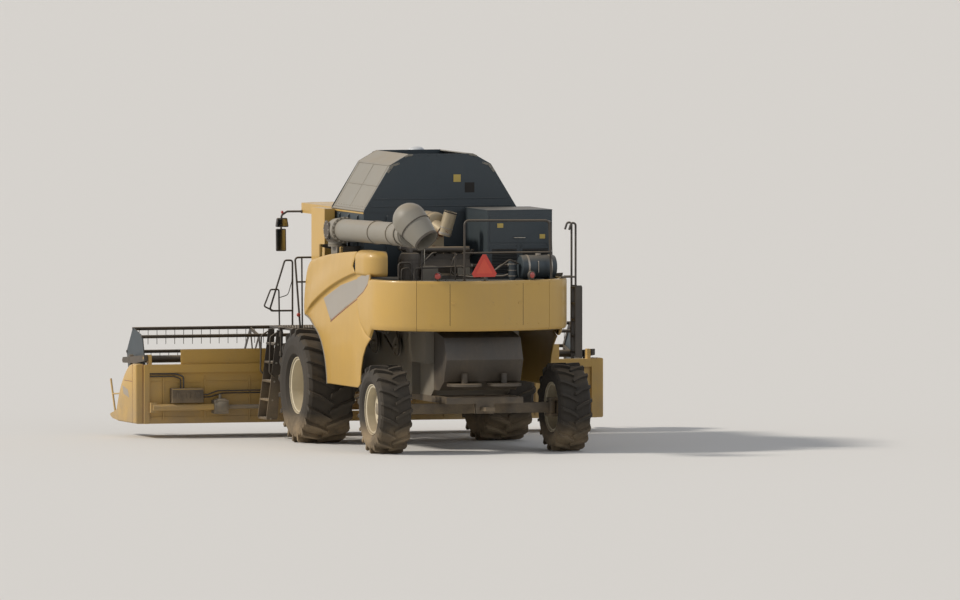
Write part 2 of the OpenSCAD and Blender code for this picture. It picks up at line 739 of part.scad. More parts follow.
module unloader_tube() {
  color(grey) {
    difference() {
      translate([unload_x, unload_y, turntable_z + gap]) cylinder(h = unload_z - turntable_z - gap, r = 150);
      translate([unload_x, unload_y, turntable_z]) cylinder(h = 60, r = spigot_r + fit);
    }
    translate([unload_x, unload_y, unload_z]) sphere(r = 182, $fn = 64);
    translate([unload_x, unload_y, unload_z]) rotate([0, tube_slope - 90, 0]) {
      cylinder(h = 4020, r = 178, $fn = 64);
      translate([0, 0, 380]) cylinder(h = 30, r = 200, $fn = 64);
      for (d = [2240, 3250]) translate([0, 0, d]) cylinder(h = 14, r = 184, $fn = 64);
    }
  }
}

spout_top = [-5124.6, unload_y, 3926];
spout_dir = [-0.533, -0.352, -0.767];
spout_len = 640;
spout_r = 240;

// Half section of the spout along its own axis: a dome, then a round tube that is open below
module spout_section(r) {
  inner = r - 8;
  polygon(concat(arc_points([0, 0], r, 180, 90, 12), [[spout_len, r], [spout_len, inner]],
                 arc_points([0, 0], inner, 90, 180, 12)));
}

module unloader_spout() {
  color(grey) difference() {
    translate(spout_top) rotate([0, acos(spout_dir.z), atan2(spout_dir.y, spout_dir.x)])
      rotate_extrude($fn = 96) rotate(90) mirror([0, 1]) spout_section(spout_r);
    translate([unload_x, unload_y, unload_z]) rotate([0, tube_slope - 90, 0])
      cylinder(h = 4026, r = 178 + 0.3, $fn = 64);
  }
}

// feeder and header
module feeder_house() {
  half = 675;
  color(yellow) difference() {
    union() {
      cross_rod(pivot_x, pivot_z, -half, half, 240);
      side_plate([[pivot_x - 60, pivot_z + 230], [pivot_x - 160, pivot_z - 170], [header_back_x, 350],
                  [header_back_x, 1010], [pivot_x + 40, pivot_z + 235]], -half, half);
      both_sides() cross_rod(pivot_x, pivot_z, half - 5, core_half_w + 30, 45 - fit);
      for (y = [418, 524]) both_sides()
        side_plate([[1270, 900], [1430, 800], [1400, 590], [1300, 590]], y, y + 18);
    }
    side_plate([[1700, 480], [header_back_x + 10, 380], [header_back_x + 10, 980], [1700, 1080]], -half + 40, half - 40);
  }
  color(dark) both_sides() cross_rod(lift_eye.x, lift_eye.y, 430, 530, 20);
}

lift_base = [190, 850];
lift_eye = [1350, 640];
lift_y = 480;
lift_angle = atan2(lift_eye.y - lift_base.y, lift_eye.x - lift_base.x);
lift_len = norm(lift_eye - lift_base);

// Cylinders lie along +X here and are then turned about their base
module at_lift() { both_sides() translate([lift_base.x, lift_y, lift_base.y]) rotate([0, -lift_angle, 0]) children(); }

module barrel(len, neck, r, bore, pin_r, w) {
  difference() {
    union() {
      rotate([90, 0, 0]) translate([0, 0, -w / 2]) cylinder(h = w, r = pin_r + 22);
      rotate([0, 90, 0]) cylinder(h = neck, r = w / 2 - 2);
      translate([neck, 0, 0]) rotate([0, 90, 0]) cylinder(h = len - neck, r = r);
    }
    translate([neck + 20, 0, 0]) rotate([0, 90, 0]) cylinder(h = len, r = bore);
    rotate([90, 0, 0]) translate([0, 0, -w / 2 - 5]) cylinder(h = w + 10, r = pin_r + fit);
  }
}

module piston_rod(start, len, r, eye_r, hole_r, w) {
  difference() {
    union() {
      translate([start, 0, 0]) rotate([0, 90, 0]) cylinder(h = len - start - hole_r - 4, r = r);
      translate([len, w / 2, 0]) rotate([90, 0, 0]) cylinder(h = w, r = eye_r);
    }
    translate([len, w / 2 + 5, 0]) rotate([90, 0, 0]) cylinder(h = w + 10, r = hole_r);
  }
}

module lift_barrels() { color(dark) at_lift() barrel(760, 90, 58, 38 + fit, 25, 44); }
module lift_rods() { color("silver") at_lift() piston_rod(420, lift_len, 38, 50, 32, 30); }

module header_frame() {
  back = header_back_x;
  color(yellow) {
    difference() {
      union() {
        span([back, -header_in_y + 90, header_floor + 30], [back + 25, header_in_y - 90, beam_z]);
        span([back, -header_in_y + 90, header_floor], [3050, header_in_y - 90, header_floor + 30]);
      }
      span([back - 10, -640, 380], [back + 40, 640, 980]);
    }
    span([back - 50, -header_in_y + 90, beam_z], [back + 80, header_in_y - 90, beam_z + 130]);
    span([back - 10, 630 - header_in_y, beam_z + 130], [back + 10, header_in_y - 630, 1430]);
    both_sides() difference() {
      side_plate([[arm_x - 70, beam_z + 100], [arm_x + 70, beam_z + 100], [arm_x + 50, arm_z + 50],
                  [arm_x - 50, arm_z + 50]], header_in_y - 145, header_in_y - 90);
    }
    both_sides() cross_rod(arm_x, arm_z, header_in_y - 140, arm_y + 28, 25);
    both_sides() side_plate([[back + 10, 700], [back + 180, 720], [back + 180, 840], [back + 10, 860]], header_in_y - 145, header_in_y - 90);
    both_sides() cross_rod(reel_base.x, reel_base.y, header_in_y - 130, arm_y + 25, 15);
  }
  color(dark) {
    // drive shaft along the back, its gear box, and a hose box
    cross_rod(back - 120, 500, 2680, header_in_y - 120, 53.5);
    cross_rod(back - 120, 500, 1870, 2460, 25);
    span([back - 200, 2460, 400], [back, 2680, 600]);
    span([back - 150, 2870, 580], [back, 3380, 800]);
    span([back - 130, header_in_y - 190, 420], [back, header_in_y - 90, 580]);
    span([back - 130, 1840, 440], [back, 1880, 560]);
  }
}

module header_ends() {
  color(yellow) both_sides() difference() {
    union() {
      side_plate([[2050, header_floor], [3100, header_floor], [3560, 300], [3600, 420], [3420, 640], [3300, 980],
                  [3250, 1130], [2900, 1180], [2300, 1220], [2050, 1220]], header_in_y, header_half_w);
      span([2000, header_in_y - 90, header_floor], [2080, header_in_y, 1190]);
      span([2080, header_in_y - 90, header_floor], [3050, header_in_y, header_floor + 30]);
      span([2080, header_in_y - 90, header_floor], [3050, header_in_y - 78, 1000]);
    }
    cross_rod(auger_x, auger_z, header_in_y - 95, header_in_y - 70, auger_stub_r + fit);
    cross_rod(reel_base.x, reel_base.y, header_in_y - 95, header_in_y - 70, 15 + fit);
  }
}

guard_pitch = 76.2;
guards = floor((header_in_y - 100) / guard_pitch);
module cutterbar() {
  color(dark) {
    span([3050, -header_in_y + 90, header_floor + 5], [3120, header_in_y - 90, header_floor + 25]);
    for (i = [-guards:guards]) translate([3110, i * guard_pitch, header_floor + 8])
      linear_extrude(14) polygon([[0, -12], [70, -5], [110, 0], [70, 5], [0, 12]]);
  }
}

auger_x = 2335;
auger_z = 525;
auger_r = 250;
auger_stub_r = 40;
flight_pitch = 270;
flights = floor((header_in_y - 200) / flight_pitch);
module header_auger() {
  end = header_in_y - 100;
  color(grey) {
    cross_rod(auger_x, auger_z, -end, end, 130);
    cross_rod(auger_x, auger_z, -end - 18, end + 18, auger_stub_r);
    for (i = [-flights:flights]) cross_rod(auger_x, auger_z, i * flight_pitch - 5, i * flight_pitch + 5, auger_r);
  }
}

module at_reel_ends() { both_sides() translate([0, arm_y, 0]) children(); }

module reel_arms() {
  color(yellow) at_reel_ends() difference() {
    union() {
      side_plate([[arm_x - 60, arm_z + 50], [arm_x - 60, arm_z - 50], [2600, 1190], [2720, 1190],
                  [3300, 1172], [3340, 1212], [3300, 1262], [2720, 1300]], -30, 30);
      cross_rod(reel_x, reel_z, -30, 30, 80);
      for (y = [-30, 20]) side_plate([[2600, 1195], [2720, 1195], [2690, 1110], [2630, 1110]], y, y + 10);
    }
    cross_rod(arm_x, arm_z, -40, 40, 25 + fit);
    cross_rod(reel_x, reel_z, -40, 40, 35 + fit);
  }
  color("silver") at_reel_ends() cross_rod(reel_eye.x, reel_eye.y, -25, 25, 12);
}

module reel() {
  end = header_in_y - 115;
  color(dark) translate([reel_x, 0, reel_z]) {
    cross_rod(0, 0, -end, end, 60);
    cross_rod(0, 0, -arm_y - 28, arm_y + 28, 35);
    for (y = [18 - end, between_tines(-end * 0.46), between_tines(0), between_tines(end * 0.46), end - 30]) spider(y);
    for (i = [0:reel_bats - 1]) let (p = polar(reel_r, reel_turn + i * 360 / reel_bats)) {
      cross_rod(p.x, p.y, -end, end, 21);
      translate([p.x - 4, 0, p.y]) rotate([90, 0, 90]) linear_extrude(8) tine_comb(end - 6);
    }
  }
}

// The strip under a bat with its row of tines, in Y and Z from the bat's middle
module tine_comb(end) {
  strip = 34;
  n = floor((end - 10) / tine_pitch);
  polygon(concat([[end, -strip], [end, 0], [-end, 0], [-end, -strip]],
                 [for (k = [-n:n], p = [[-4, -strip], [-4, -tine_len], [4, -tine_len], [4, -strip]])
                   p + [k * tine_pitch, 0]]));
}

// The place of a spider next to y, half way between two tines
function between_tines(y) = (floor(y / tine_pitch) + 0.5) * tine_pitch - 6;

module spider(y) {
  translate([0, y + 12, 0]) rotate([90, -reel_turn, 0]) linear_extrude(12) {
    difference() {
      circle(r = reel_r + 8, $fn = reel_bats);
      circle(r = reel_r - 60, $fn = reel_bats);
    }
    for (i = [0:reel_bats - 1]) rotate(i * 360 / reel_bats) translate([40, -22]) square([reel_r - 60, 44]);
  }
}

reel_base = [2170, 780];
reel_eye = [2660, 1140];
reel_lift_angle = atan2(reel_eye.y - reel_base.y, reel_eye.x - reel_base.x);
reel_lift_len = norm(reel_eye - reel_base);
module at_reel_lift() {
  both_sides() translate([reel_base.x, arm_y, reel_base.y]) rotate([0, -reel_lift_angle, 0]) children();
}
module reel_barrels() { color(dark) at_reel_lift() barrel(410, 50, 27, 14 + fit, 15, 40); }
module reel_rods() { color("silver") at_reel_lift() piston_rod(200, reel_lift_len, 14, 26, 18, 30); }

placed() chassis();
placed() threshing_body();
placed() front_axle();
placed() rear_axle();
placed() front_tyre(1);  // front_left_tyre
placed() front_rim(1);  // front_left_rim
placed() front_tyre(-1);  // front_right_tyre
placed() front_rim(-1);  // front_right_rim
placed() rear_tyre(1);  // rear_left_tyre
placed() rear_rim(1);  // rear_left_rim
placed() rear_tyre(-1);  // rear_right_tyre
placed() rear_rim(-1);  // rear_right_rim
placed() knuckle(1);  // left_knuckle
placed() knuckle(-1);  // right_knuckle
placed() tie_rod();
placed() grain_tank();
placed() shield_arms();
placed() filling_auger();
placed() tank_cover(1);  // left_cover
placed() tank_cover(-1);  // right_cover
placed() front_wall();
placed() rear_wall();
placed() receiver();
placed() engine_deck();
placed() engine();
placed() exhaust();
placed() cooling_box();
placed() deck_rails();
placed() rear_ladder();
placed() rear_hood();
placed() corner_panels();
placed() side_shield(1);  // left_shield
placed() side_shield(-1);  // right_shield
placed() side_post();
placed() chopper();
placed() cab_shell();
placed() cab_roof();
placed() cab_glass();
placed() cab_door();
placed() door_glass();
placed() cab_interior();
placed() mirrors();
placed() platform();
placed() front_ladder();
placed() unloader_duct();
placed() unloader_tube();
placed() unloader_spout();
placed() feeder_house();
placed() header_frame();
placed() header_ends();
placed() cutterbar();
placed() header_auger();
placed() lift_barrels();
placed() lift_rods();
placed() reel_arms();
placed() reel();
placed() reel_barrels();
placed() reel_rods();
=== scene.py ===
"""Looks of the combine harvester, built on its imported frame."""
import math

import bmesh
import bpy
import numpy as np
from mathutils import Matrix, Vector
from mathutils.geometry import delaunay_2d_cdt


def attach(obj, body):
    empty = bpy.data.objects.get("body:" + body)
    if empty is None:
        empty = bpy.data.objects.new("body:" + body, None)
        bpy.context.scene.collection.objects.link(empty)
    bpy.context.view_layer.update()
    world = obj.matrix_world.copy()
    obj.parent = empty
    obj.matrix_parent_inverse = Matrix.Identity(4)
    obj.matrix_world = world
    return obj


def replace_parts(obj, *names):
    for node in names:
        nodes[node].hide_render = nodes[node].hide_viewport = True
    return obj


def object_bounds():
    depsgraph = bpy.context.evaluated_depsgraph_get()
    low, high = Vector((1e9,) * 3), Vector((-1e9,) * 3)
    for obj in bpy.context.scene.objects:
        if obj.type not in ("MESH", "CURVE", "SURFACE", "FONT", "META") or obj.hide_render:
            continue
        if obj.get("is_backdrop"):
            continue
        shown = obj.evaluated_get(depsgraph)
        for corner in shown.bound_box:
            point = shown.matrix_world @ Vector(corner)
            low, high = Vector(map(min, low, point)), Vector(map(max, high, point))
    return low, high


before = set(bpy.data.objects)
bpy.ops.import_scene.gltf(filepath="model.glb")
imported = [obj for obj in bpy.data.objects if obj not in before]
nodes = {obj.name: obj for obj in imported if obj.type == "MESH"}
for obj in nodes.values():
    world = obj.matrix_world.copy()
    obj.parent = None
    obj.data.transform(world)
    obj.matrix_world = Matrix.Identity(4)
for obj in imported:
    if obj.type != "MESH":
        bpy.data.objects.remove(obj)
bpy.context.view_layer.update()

# Places below are millimetres from the ground under the front axle: X forward, Y left, Z up.
AXLE_X = 1035
SIDES = ((1, "left"), (-1, "right"))
AHEAD, LEFT, UP = Vector((1, 0, 0)), Vector((0, 1, 0)), Vector((0, 0, 1))


def place(p):
    """A point of the axle frame as metres in the machine's own frame."""
    return Vector(((p[0] + AXLE_X) / 1000, p[1] / 1000, p[2] / 1000))


def add(name, data):
    """Puts an object with this data in the scene."""
    o = bpy.data.objects.new(name, data)
    bpy.context.scene.collection.objects.link(o)
    return o


# Finishes


def new_tree(kind, name, inputs, outputs):
    tree = bpy.data.node_groups.new(name, kind + "NodeTree")
    for way, rows in (("INPUT", inputs), ("OUTPUT", outputs)):
        for label, type_, *value in rows:
            socket = tree.interface.new_socket(label, in_out=way, socket_type="NodeSocket" + type_)
            if value:
                socket.default_value = value[0]
    return tree


class Wiring:
    """Short ways to add and join nodes in one tree."""

    def __init__(self, tree):
        self.tree = tree

    def wire(self, n, feeds):
        """Feeds a node's inputs from other nodes or with plain values."""
        for key, value in feeds.items():
            if isinstance(value, bpy.types.NodeSocket):
                self.tree.links.new(value, n.inputs[key])
            else:
                n.inputs[key].default_value = value
        return n

    def node(self, kind, feeds=None, **settings):
        n = self.tree.nodes.new(kind)
        for key, value in settings.items():
            setattr(n, key, value)
        return self.wire(n, feeds or {})

    def maths(self, operation, a, b=0.0, clamp=False):
        return self.node("ShaderNodeMath", {0: a, 1: b}, operation=operation, use_clamp=clamp).outputs[0]

    def times(self, a, b):
        return self.maths("MULTIPLY", a, b)

    def less(self, a, b):
        return self.maths("SUBTRACT", a, b)

    def ramp(self, value, low, high, out_low=0.0, out_high=1.0):
        feeds = dict(enumerate((value, low, high, out_low, out_high)))
        return self.node("ShaderNodeMapRange", feeds, interpolation_type="SMOOTHSTEP").outputs[0]

    def mix(self, factor, a, b):
        return self.node("ShaderNodeMix", {0: factor, 6: a, 7: b}, data_type="RGBA").outputs[2]

    def noise(self, spot, scale, detail=3.0, rough=0.5, stretch=None):
        if stretch:
            spot = self.node("ShaderNodeMapping", {"Vector": spot, "Scale": stretch}).outputs[0]
        feeds = {"Vector": spot, "Scale": scale, "Detail": detail, "Roughness": rough}
        return self.node("ShaderNodeTexNoise", feeds).outputs["Fac"]


def dust_group():
    """Field dust that settles on upward faces and low down, in patches, with faint runs on steep faces."""
    tree = new_tree("Shader", "field_dust",
                    [("Color", "Color", (0.5, 0.5, 0.5, 1)), ("Roughness", "Float", 0.4),
                     ("Dust Color", "Color", (0.36, 0.27, 0.17, 1)), ("Film", "Float", 0.2),
                     ("Settled", "Float", 0.6), ("Low Height", "Float", 1.6), ("Patch Scale", "Float", 2.0)],
                    [("Color", "Color"), ("Roughness", "Float"), ("Mask", "Float")])
    w = Wiring(tree)
    given = w.node("NodeGroupInput").outputs
    where = w.node("ShaderNodeTexCoord").outputs
    spot = where["Object"]
    height = w.node("ShaderNodeSeparateXYZ", {0: spot}).outputs["Z"]
    facing = w.node("ShaderNodeSeparateXYZ", {0: where["Normal"]}).outputs["Z"]
    patches = w.noise(spot, given["Patch Scale"], 6.0, 0.6)
    settled = w.times(w.times(w.ramp(facing, 0.25, 0.95), given["Settled"]), w.ramp(patches, 0.25, 0.62, 0.45, 1.0))
    low = w.times(w.ramp(height, given["Low Height"], 0.2), w.ramp(patches, 0.3, 0.66, 0.3, 0.8))
    film = w.times(given["Film"], w.ramp(w.noise(spot, 0.9), 0.3, 0.7, 0.55, 1.3))
    film = w.times(film, w.ramp(w.noise(spot, 9.0, 3.0, 0.6, (1.0, 1.0, 0.12)), 0.35, 0.75, 0.88, 1.15))
    total = w.maths("MAXIMUM", w.maths("MAXIMUM", settled, low), film)
    total = w.maths("MULTIPLY", total, w.ramp(w.noise(spot, 60.0, 4.0, 0.7), 0.25, 0.7, 0.82, 1.1), clamp=True)
    rough = w.node("ShaderNodeMix", {0: total, 2: given["Roughness"], 3: 0.92}, data_type="FLOAT").outputs[0]
    w.node("NodeGroupOutput", {"Color": w.mix(total, given["Color"], given["Dust Color"]), "Roughness": rough,
                               "Mask": total})
    return tree


def wear_group():
    """Small chips in scattered spots that show what lies under a coat, with a little change of tone."""
    tree = new_tree("Shader", "rubbed_coat",
                    [("Coat", "Color", (0.5, 0.5, 0.5, 1)), ("Under", "Color", (0.1, 0.1, 0.1, 1)),
                     ("Coat Roughness", "Float", 0.35), ("Chips", "Float", 0.3), ("Tone", "Float", 0.08)],
                    [("Color", "Color"), ("Roughness", "Float"), ("Height", "Float")])
    w = Wiring(tree)
    given = w.node("NodeGroupInput").outputs
    spot = w.node("ShaderNodeTexCoord").outputs["Object"]
    region = w.noise(spot, 3.1)
    limit = w.less(0.86, w.times(given["Chips"], w.ramp(region, 0.5, 0.74)))
    chip = w.ramp(w.less(w.noise(spot, 70.0, 5.0, 0.66), limit), 0.0, 0.03)
    tone = w.maths("ADD", 1.0, w.times(given["Tone"], w.less(w.noise(spot, 1.3, 4.0, 0.55), 0.5)))
    shade = w.node("ShaderNodeVectorMath", {0: given["Coat"]}, operation="SCALE")
    w.wire(shade, {"Scale": tone})
    rough = w.maths("ADD", given["Coat Roughness"], w.times(w.less(region, 0.5), 0.16))
    w.node("NodeGroupOutput", {"Color": w.mix(chip, shade.outputs[0], given["Under"]),
                               "Roughness": w.maths("MAXIMUM", rough, w.times(chip, 0.6)),
                               "Height": w.less(w.times(w.noise(spot, 160.0, 2.0), 0.25), chip)})
    return tree


DUST, WEAR = dust_group(), wear_group()


def new_material(name):
    m = bpy.data.materials.new(name)
    m.use_nodes = True
    return m, Wiring(m.node_tree), m.node_tree.nodes["Principled BSDF"]


def finish(name, colour, rough=0.4, metal=0.0, under=(0.09, 0.085, 0.08), chips=0.25, tone=0.12, film=0.18,
           settled=0.6, low=1.6, bump=0.0006, coat=0.0):
    """A coated or bare surface with wear and field dust."""
    m, w, shader = new_material(name)
    worn = w.node("ShaderNodeGroup", {"Coat": (*colour, 1), "Under": (*under, 1), "Coat Roughness": rough,
                                      "Chips": chips, "Tone": tone}, node_tree=WEAR).outputs
    dusty = w.node("ShaderNodeGroup", {"Color": worn["Color"], "Roughness": worn["Roughness"],
                                       "Dust Color": (0.34, 0.255, 0.155, 1), "Film": film, "Settled": settled,
                                       "Low Height": low}, node_tree=DUST).outputs
    w.wire(shader, {"Base Color": dusty["Color"], "Roughness": dusty["Roughness"], "Coat Weight": coat,
                    "Coat Roughness": 0.15})
    if metal:
        w.wire(shader, {"Metallic": w.maths("SUBTRACT", metal, w.times(dusty["Mask"], metal), clamp=True)})
    if bump:
        rise = w.node("ShaderNodeBump", {"Distance": bump, "Strength": 0.6, "Height": worn["Height"]})
        w.wire(shader, {"Normal": rise.outputs[0]})
    return m


yellow = finish("yellow_body_paint", (0.56, 0.345, 0.07), 0.38, film=0.2, settled=0.5, coat=0.2)
dark = finish("dark_slate_paint", (0.024, 0.040, 0.052), 0.5, under=(0.16, 0.15, 0.13), film=0.04, settled=0.3)
frame_black = finish("frame_black_paint", (0.018, 0.018, 0.019), 0.5, under=(0.16, 0.09, 0.05), film=0.16, settled=0.6,
                     low=1.7)
light_grey = finish("light_grey_sheet", (0.225, 0.215, 0.185), 0.48, under=(0.1, 0.1, 0.1), film=0.12, settled=0.4)
machine_grey = finish("machine_grey_paint", (0.16, 0.155, 0.135), 0.5, film=0.22, settled=0.7)
mark_grey = finish("plain_grey_panel_stripe", (0.34, 0.32, 0.29), 0.5, film=0.12, settled=0.3, bump=0.0)
stripe_red = finish("dark_red_stripe", (0.16, 0.022, 0.03), 0.4, film=0.2, settled=0.3, bump=0.0)
cream = finish("cream_rim_paint", (0.62, 0.56, 0.42), 0.42, film=0.15, settled=0.4, low=0.8)
exhaust_coat = finish("hot_exhaust_steel", (0.36, 0.30, 0.20), 0.55, metal=0.4, under=(0.2, 0.07, 0.03), chips=0.6,
                      tone=0.5)
# Near-black finish: real soot on the exhaust tip, and painted shade where it fills the hood's panel gaps, the vent
# openings and the sight glass.
soot_and_painted_shade = finish("sooty_steel_and_painted_shade", (0.012, 0.011, 0.01), 0.85, film=0.02, settled=0.1, low=0.3)
rubber = finish("tyre_rubber", (0.016, 0.015, 0.014), 0.85, under=(0.05, 0.045, 0.04), film=0.08, settled=0.25, low=0.6,
                bump=0.0015)
belt_rubber = finish("belt_rubber", (0.02, 0.02, 0.02), 0.7, film=0.15, settled=0.4, low=1.0)
hose_rubber = finish("hose_rubber", (0.016, 0.016, 0.017), 0.5, film=0.12, settled=0.5, low=1.0)
plastic = finish("black_plastic", (0.022, 0.022, 0.023), 0.55, under=(0.04, 0.04, 0.04), film=0.15, settled=0.5)
dome_white = finish("dome_white", (0.62, 0.66, 0.7), 0.4, film=0.1, settled=0.3)
bright_steel = finish("bright_rod_steel", (0.72, 0.72, 0.72), 0.14, metal=1.0, film=0.05, settled=0.2, low=0.3,
                      chips=0.0, bump=0.0)
worn_steel = finish("worn_steel", (0.30, 0.28, 0.25), 0.42, metal=0.8, under=(0.15, 0.07, 0.035), chips=0.5, film=0.2)
zinc = finish("zinc_plated", (0.48, 0.46, 0.40), 0.38, metal=0.7, chips=0.1, film=0.2, settled=0.4)
cloth = finish("seat_cloth", (0.03, 0.033, 0.04), 0.9, film=0.05, settled=0.15, bump=0.001)
label = finish("blank_yellow_plate", (0.62, 0.46, 0.10), 0.4, film=0.2, settled=0.3, bump=0.0)
lamp_red = finish("red_lens", (0.42, 0.02, 0.012), 0.2, chips=0.0, film=0.1, settled=0.2, bump=0.0, coat=0.6)
lamp_clear = finish("clear_lens", (0.72, 0.74, 0.74), 0.12, chips=0.0, film=0.06, settled=0.2, bump=0.0, coat=0.8)
mirror_face = finish("mirror_glass", (0.34, 0.36, 0.36), 0.06, metal=1.0, chips=0.0, film=0.03, settled=0.1, bump=0.0)
reflective_red = finish("red_reflector", (0.62, 0.03, 0.02), 0.3, chips=0.05, film=0.12, settled=0.2, bump=0.0)
orange = finish("orange_reflector", (0.72, 0.06, 0.03), 0.35, chips=0.05, film=0.12, settled=0.2, bump=0.0)


def glass_finish():
    m, w, shader = new_material("tinted_glass")
    dusty = w.node("ShaderNodeGroup", {"Color": (0.42, 0.5, 0.5, 1), "Roughness": 0.03, "Film": 0.05, "Settled": 0.3,
                                       "Low Height": 2.6}, node_tree=DUST).outputs
    w.wire(shader, {"Base Color": dusty["Color"], "Roughness": dusty["Roughness"], "Transmission Weight": 0.85,
                    "IOR": 1.45})
    return m


def screen_finish():
    """Sheet with rows of small round holes, laid across X and Z, drawn as near-black dots: painted shade of the space
    behind them.
    """
    m = finish("perforated_screen", (0.05, 0.055, 0.06), 0.5, film=0.3, settled=0.4)
    w = Wiring(m.node_tree)
    shader = m.node_tree.nodes["Principled BSDF"]
    base = shader.inputs["Base Color"].links[0].from_socket
    apart = w.node("ShaderNodeSeparateXYZ", {0: w.node("ShaderNodeTexCoord").outputs["Object"]}).outputs
    waves = [w.maths("SINE", w.times(apart[axis], 2 * math.pi / 0.024)) for axis in "XZ"]
    # Near-black dots where the holes are: painted shade.
    w.wire(shader, {"Base Color": w.mix(w.ramp(w.times(*waves), 0.15, 0.35), base, (0.004, 0.004, 0.004, 1))})
    return m


glass = glass_finish()
screen = screen_finish()

COATS = {
    yellow: "left_shield right_shield rear_hood corner_panels side_post cab_shell cab_door cab_roof feeder_house "
            "header_frame header_ends",
    dark: "grain_tank front_wall rear_wall engine_deck cooling_box mirrors",
    frame_black: "chassis front_axle rear_axle left_knuckle right_knuckle shield_arms engine deck_rails "
                 "rear_ladder chopper platform front_ladder lift_barrels reel reel_arms reel_barrels cutterbar",
    machine_grey: "threshing_body filling_auger tie_rod unloader_duct",
    light_grey: "left_cover right_cover unloader_tube unloader_spout",
    worn_steel: "header_auger",
    cream: "front_left_rim front_right_rim rear_left_rim rear_right_rim",
    exhaust_coat: "exhaust",
    dome_white: "receiver",
    plastic: "cab_interior",
    rubber: "front_left_tyre front_right_tyre rear_left_tyre rear_right_tyre",
    glass: "cab_glass door_glass",
    bright_steel: "lift_rods reel_rods",
}
for coat, names in COATS.items():
    for n in names.split():
        nodes[n].data.materials.clear()
        nodes[n].data.materials.append(coat)

# Forms


def arc(centre, radius, angles):
    """Points round a centre at these angles in degrees."""
    return [(centre[0] + radius * math.cos(math.radians(a)), centre[1] + radius * math.sin(math.radians(a)))
            for a in angles]


def circle(sides, radius):
    return arc((0, 0), radius, [360 * i / sides for i in range(sides)])


def square_to(way):
    """A level direction square to this one, or one along the ground for an upright way."""
    return way.cross(UP if abs(way.z) < 0.9 else AHEAD).normalized()


def rounded(points, bend, steps=6):
    """The points with each inner one replaced by an arc."""
    spots = [Vector(p) for p in points]
    path = [spots[0]]
    for a, b, c in zip(spots, spots[1:], spots[2:]):
        u, v = (b - a).normalized(), (c - b).normalized()
        turn = u.angle(v)
        if not bend or turn < 0.02:
            path.append(b)
            continue
        out = u.cross(u.cross(v).normalized())
        middle = b - u * bend * math.tan(turn / 2) - out * bend
        path += [middle + out * bend * math.cos(turn * i / steps) + u * bend * math.sin(turn * i / steps)
                 for i in range(steps + 1)]
    return path + [spots[-1]]


class Form:
    """Closed shapes in millimetres from an origin in the axle frame, gathered into one mesh and, where mirrored, made
    on both sides of the machine; coat picks the finish of the next one."""

    def __init__(self, origin=(0, 0, 0), mirrored=False):
        self.bm = bmesh.new()
        self.origin = Vector(origin)
        self.sides = (1, -1) if mirrored else (1,)
        self.coat = 0

    def skin(self, rings, joined=False):
        """Joins rings of points into a tube, with its ends closed or its last ring joined to its first."""
        for s in self.sides:
            rows = [[self.bm.verts.new(Vector((x, s * y, z)) + self.origin) for x, y, z in ring] for ring in rings]
            n = len(rows[0])
            faces = [(a[i], a[(i + 1) % n], b[(i + 1) % n], b[i]) for a, b in zip(rows, rows[1:] + rows[:joined])
                     for i in range(n)]
            for corners in faces + ([] if joined else [rows[0][::-1], rows[-1]]):
                self.bm.faces.new(corners).material_index = self.coat

    def plate(self, axis, outline, a, b):
        """An outline in the plane across an axis, made thick from a to b along it."""
        order = {"x": lambda u, v, c: (c, u, v), "y": lambda u, v, c: (u, c, v), "z": lambda u, v, c: (u, v, c)}[axis]
        self.skin([[order(u, v, c) for u, v in outline] for c in sorted((a, b))])

    def block(self, a, b):
        """A box between two opposite corners."""
        (x0, y0, z0), (x1, y1, z1) = zip(*map(sorted, zip(a, b)))
        self.plate("z", [(x0, y0), (x1, y0), (x1, y1), (x0, y1)], z0, z1)

    def sweep(self, path, outline, joined=False):
        """Carries an outline along a path, with its second direction kept upwards."""
        rings = []
        last = len(path) - 1
        for i, p in enumerate(path):
            before = path[i - 1] if i or joined else p
            after = path[(i + 1) % len(path)] if i < last or joined else p
            way = (after - before).normalized()
            side = way.cross(UP).normalized()
            rise = side.cross(way)
            rings.append([p + side * a + rise * b for a, b in outline])
        self.skin(rings, joined=joined)

    def pipe(self, points, radius, bend=0, sides=14):
        """A round tube along points, bent in arcs at the inner ones."""
        path = rounded(points, bend)
        side = square_to((path[1] - path[0]).normalized())
        rings = []
        for i, p in enumerate(path):
            ahead = (path[min(i + 1, len(path) - 1)] - path[max(i - 1, 0)]).normalized()
            side = (side - ahead * side.dot(ahead)).normalized()
            other = ahead.cross(side)
            rings.append([p + side * a + other * b for a, b in circle(sides, radius)])
        self.skin(rings)

    def turned(self, profile, base, axis, sides=40, joined=False):
        """Turns (along, radius) pairs about an axis; a joined profile makes a ring."""
        way = Vector(axis).normalized()
        side = square_to(way)
        other = way.cross(side)
        rings = [[Vector(base) + way * along + side * a + other * b for a, b in circle(sides, max(radius, 0.001))]
                 for along, radius in profile]
        self.skin(rings, joined=joined)

    def disc(self, base, axis, radius, low, high, sides=40):
        self.turned([(low, 0), (low, radius), (high, radius), (high, 0)], base, axis, sides)

    def band(self, base, axis, inner, outer, low, high, sides=40):
        self.turned([(low, inner), (low, outer), (high, outer), (high, inner)], base, axis, sides, joined=True)


def put(mesh, name, body):
    """Makes an object of a mesh whose points are millimetres of the axle frame, and lets it ride on a body."""
    mesh.transform(Matrix.Translation((AXLE_X / 1000, 0, 0)) @ Matrix.Scale(0.001, 4))
    o = add(name, mesh)
    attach(o, body)
    return o


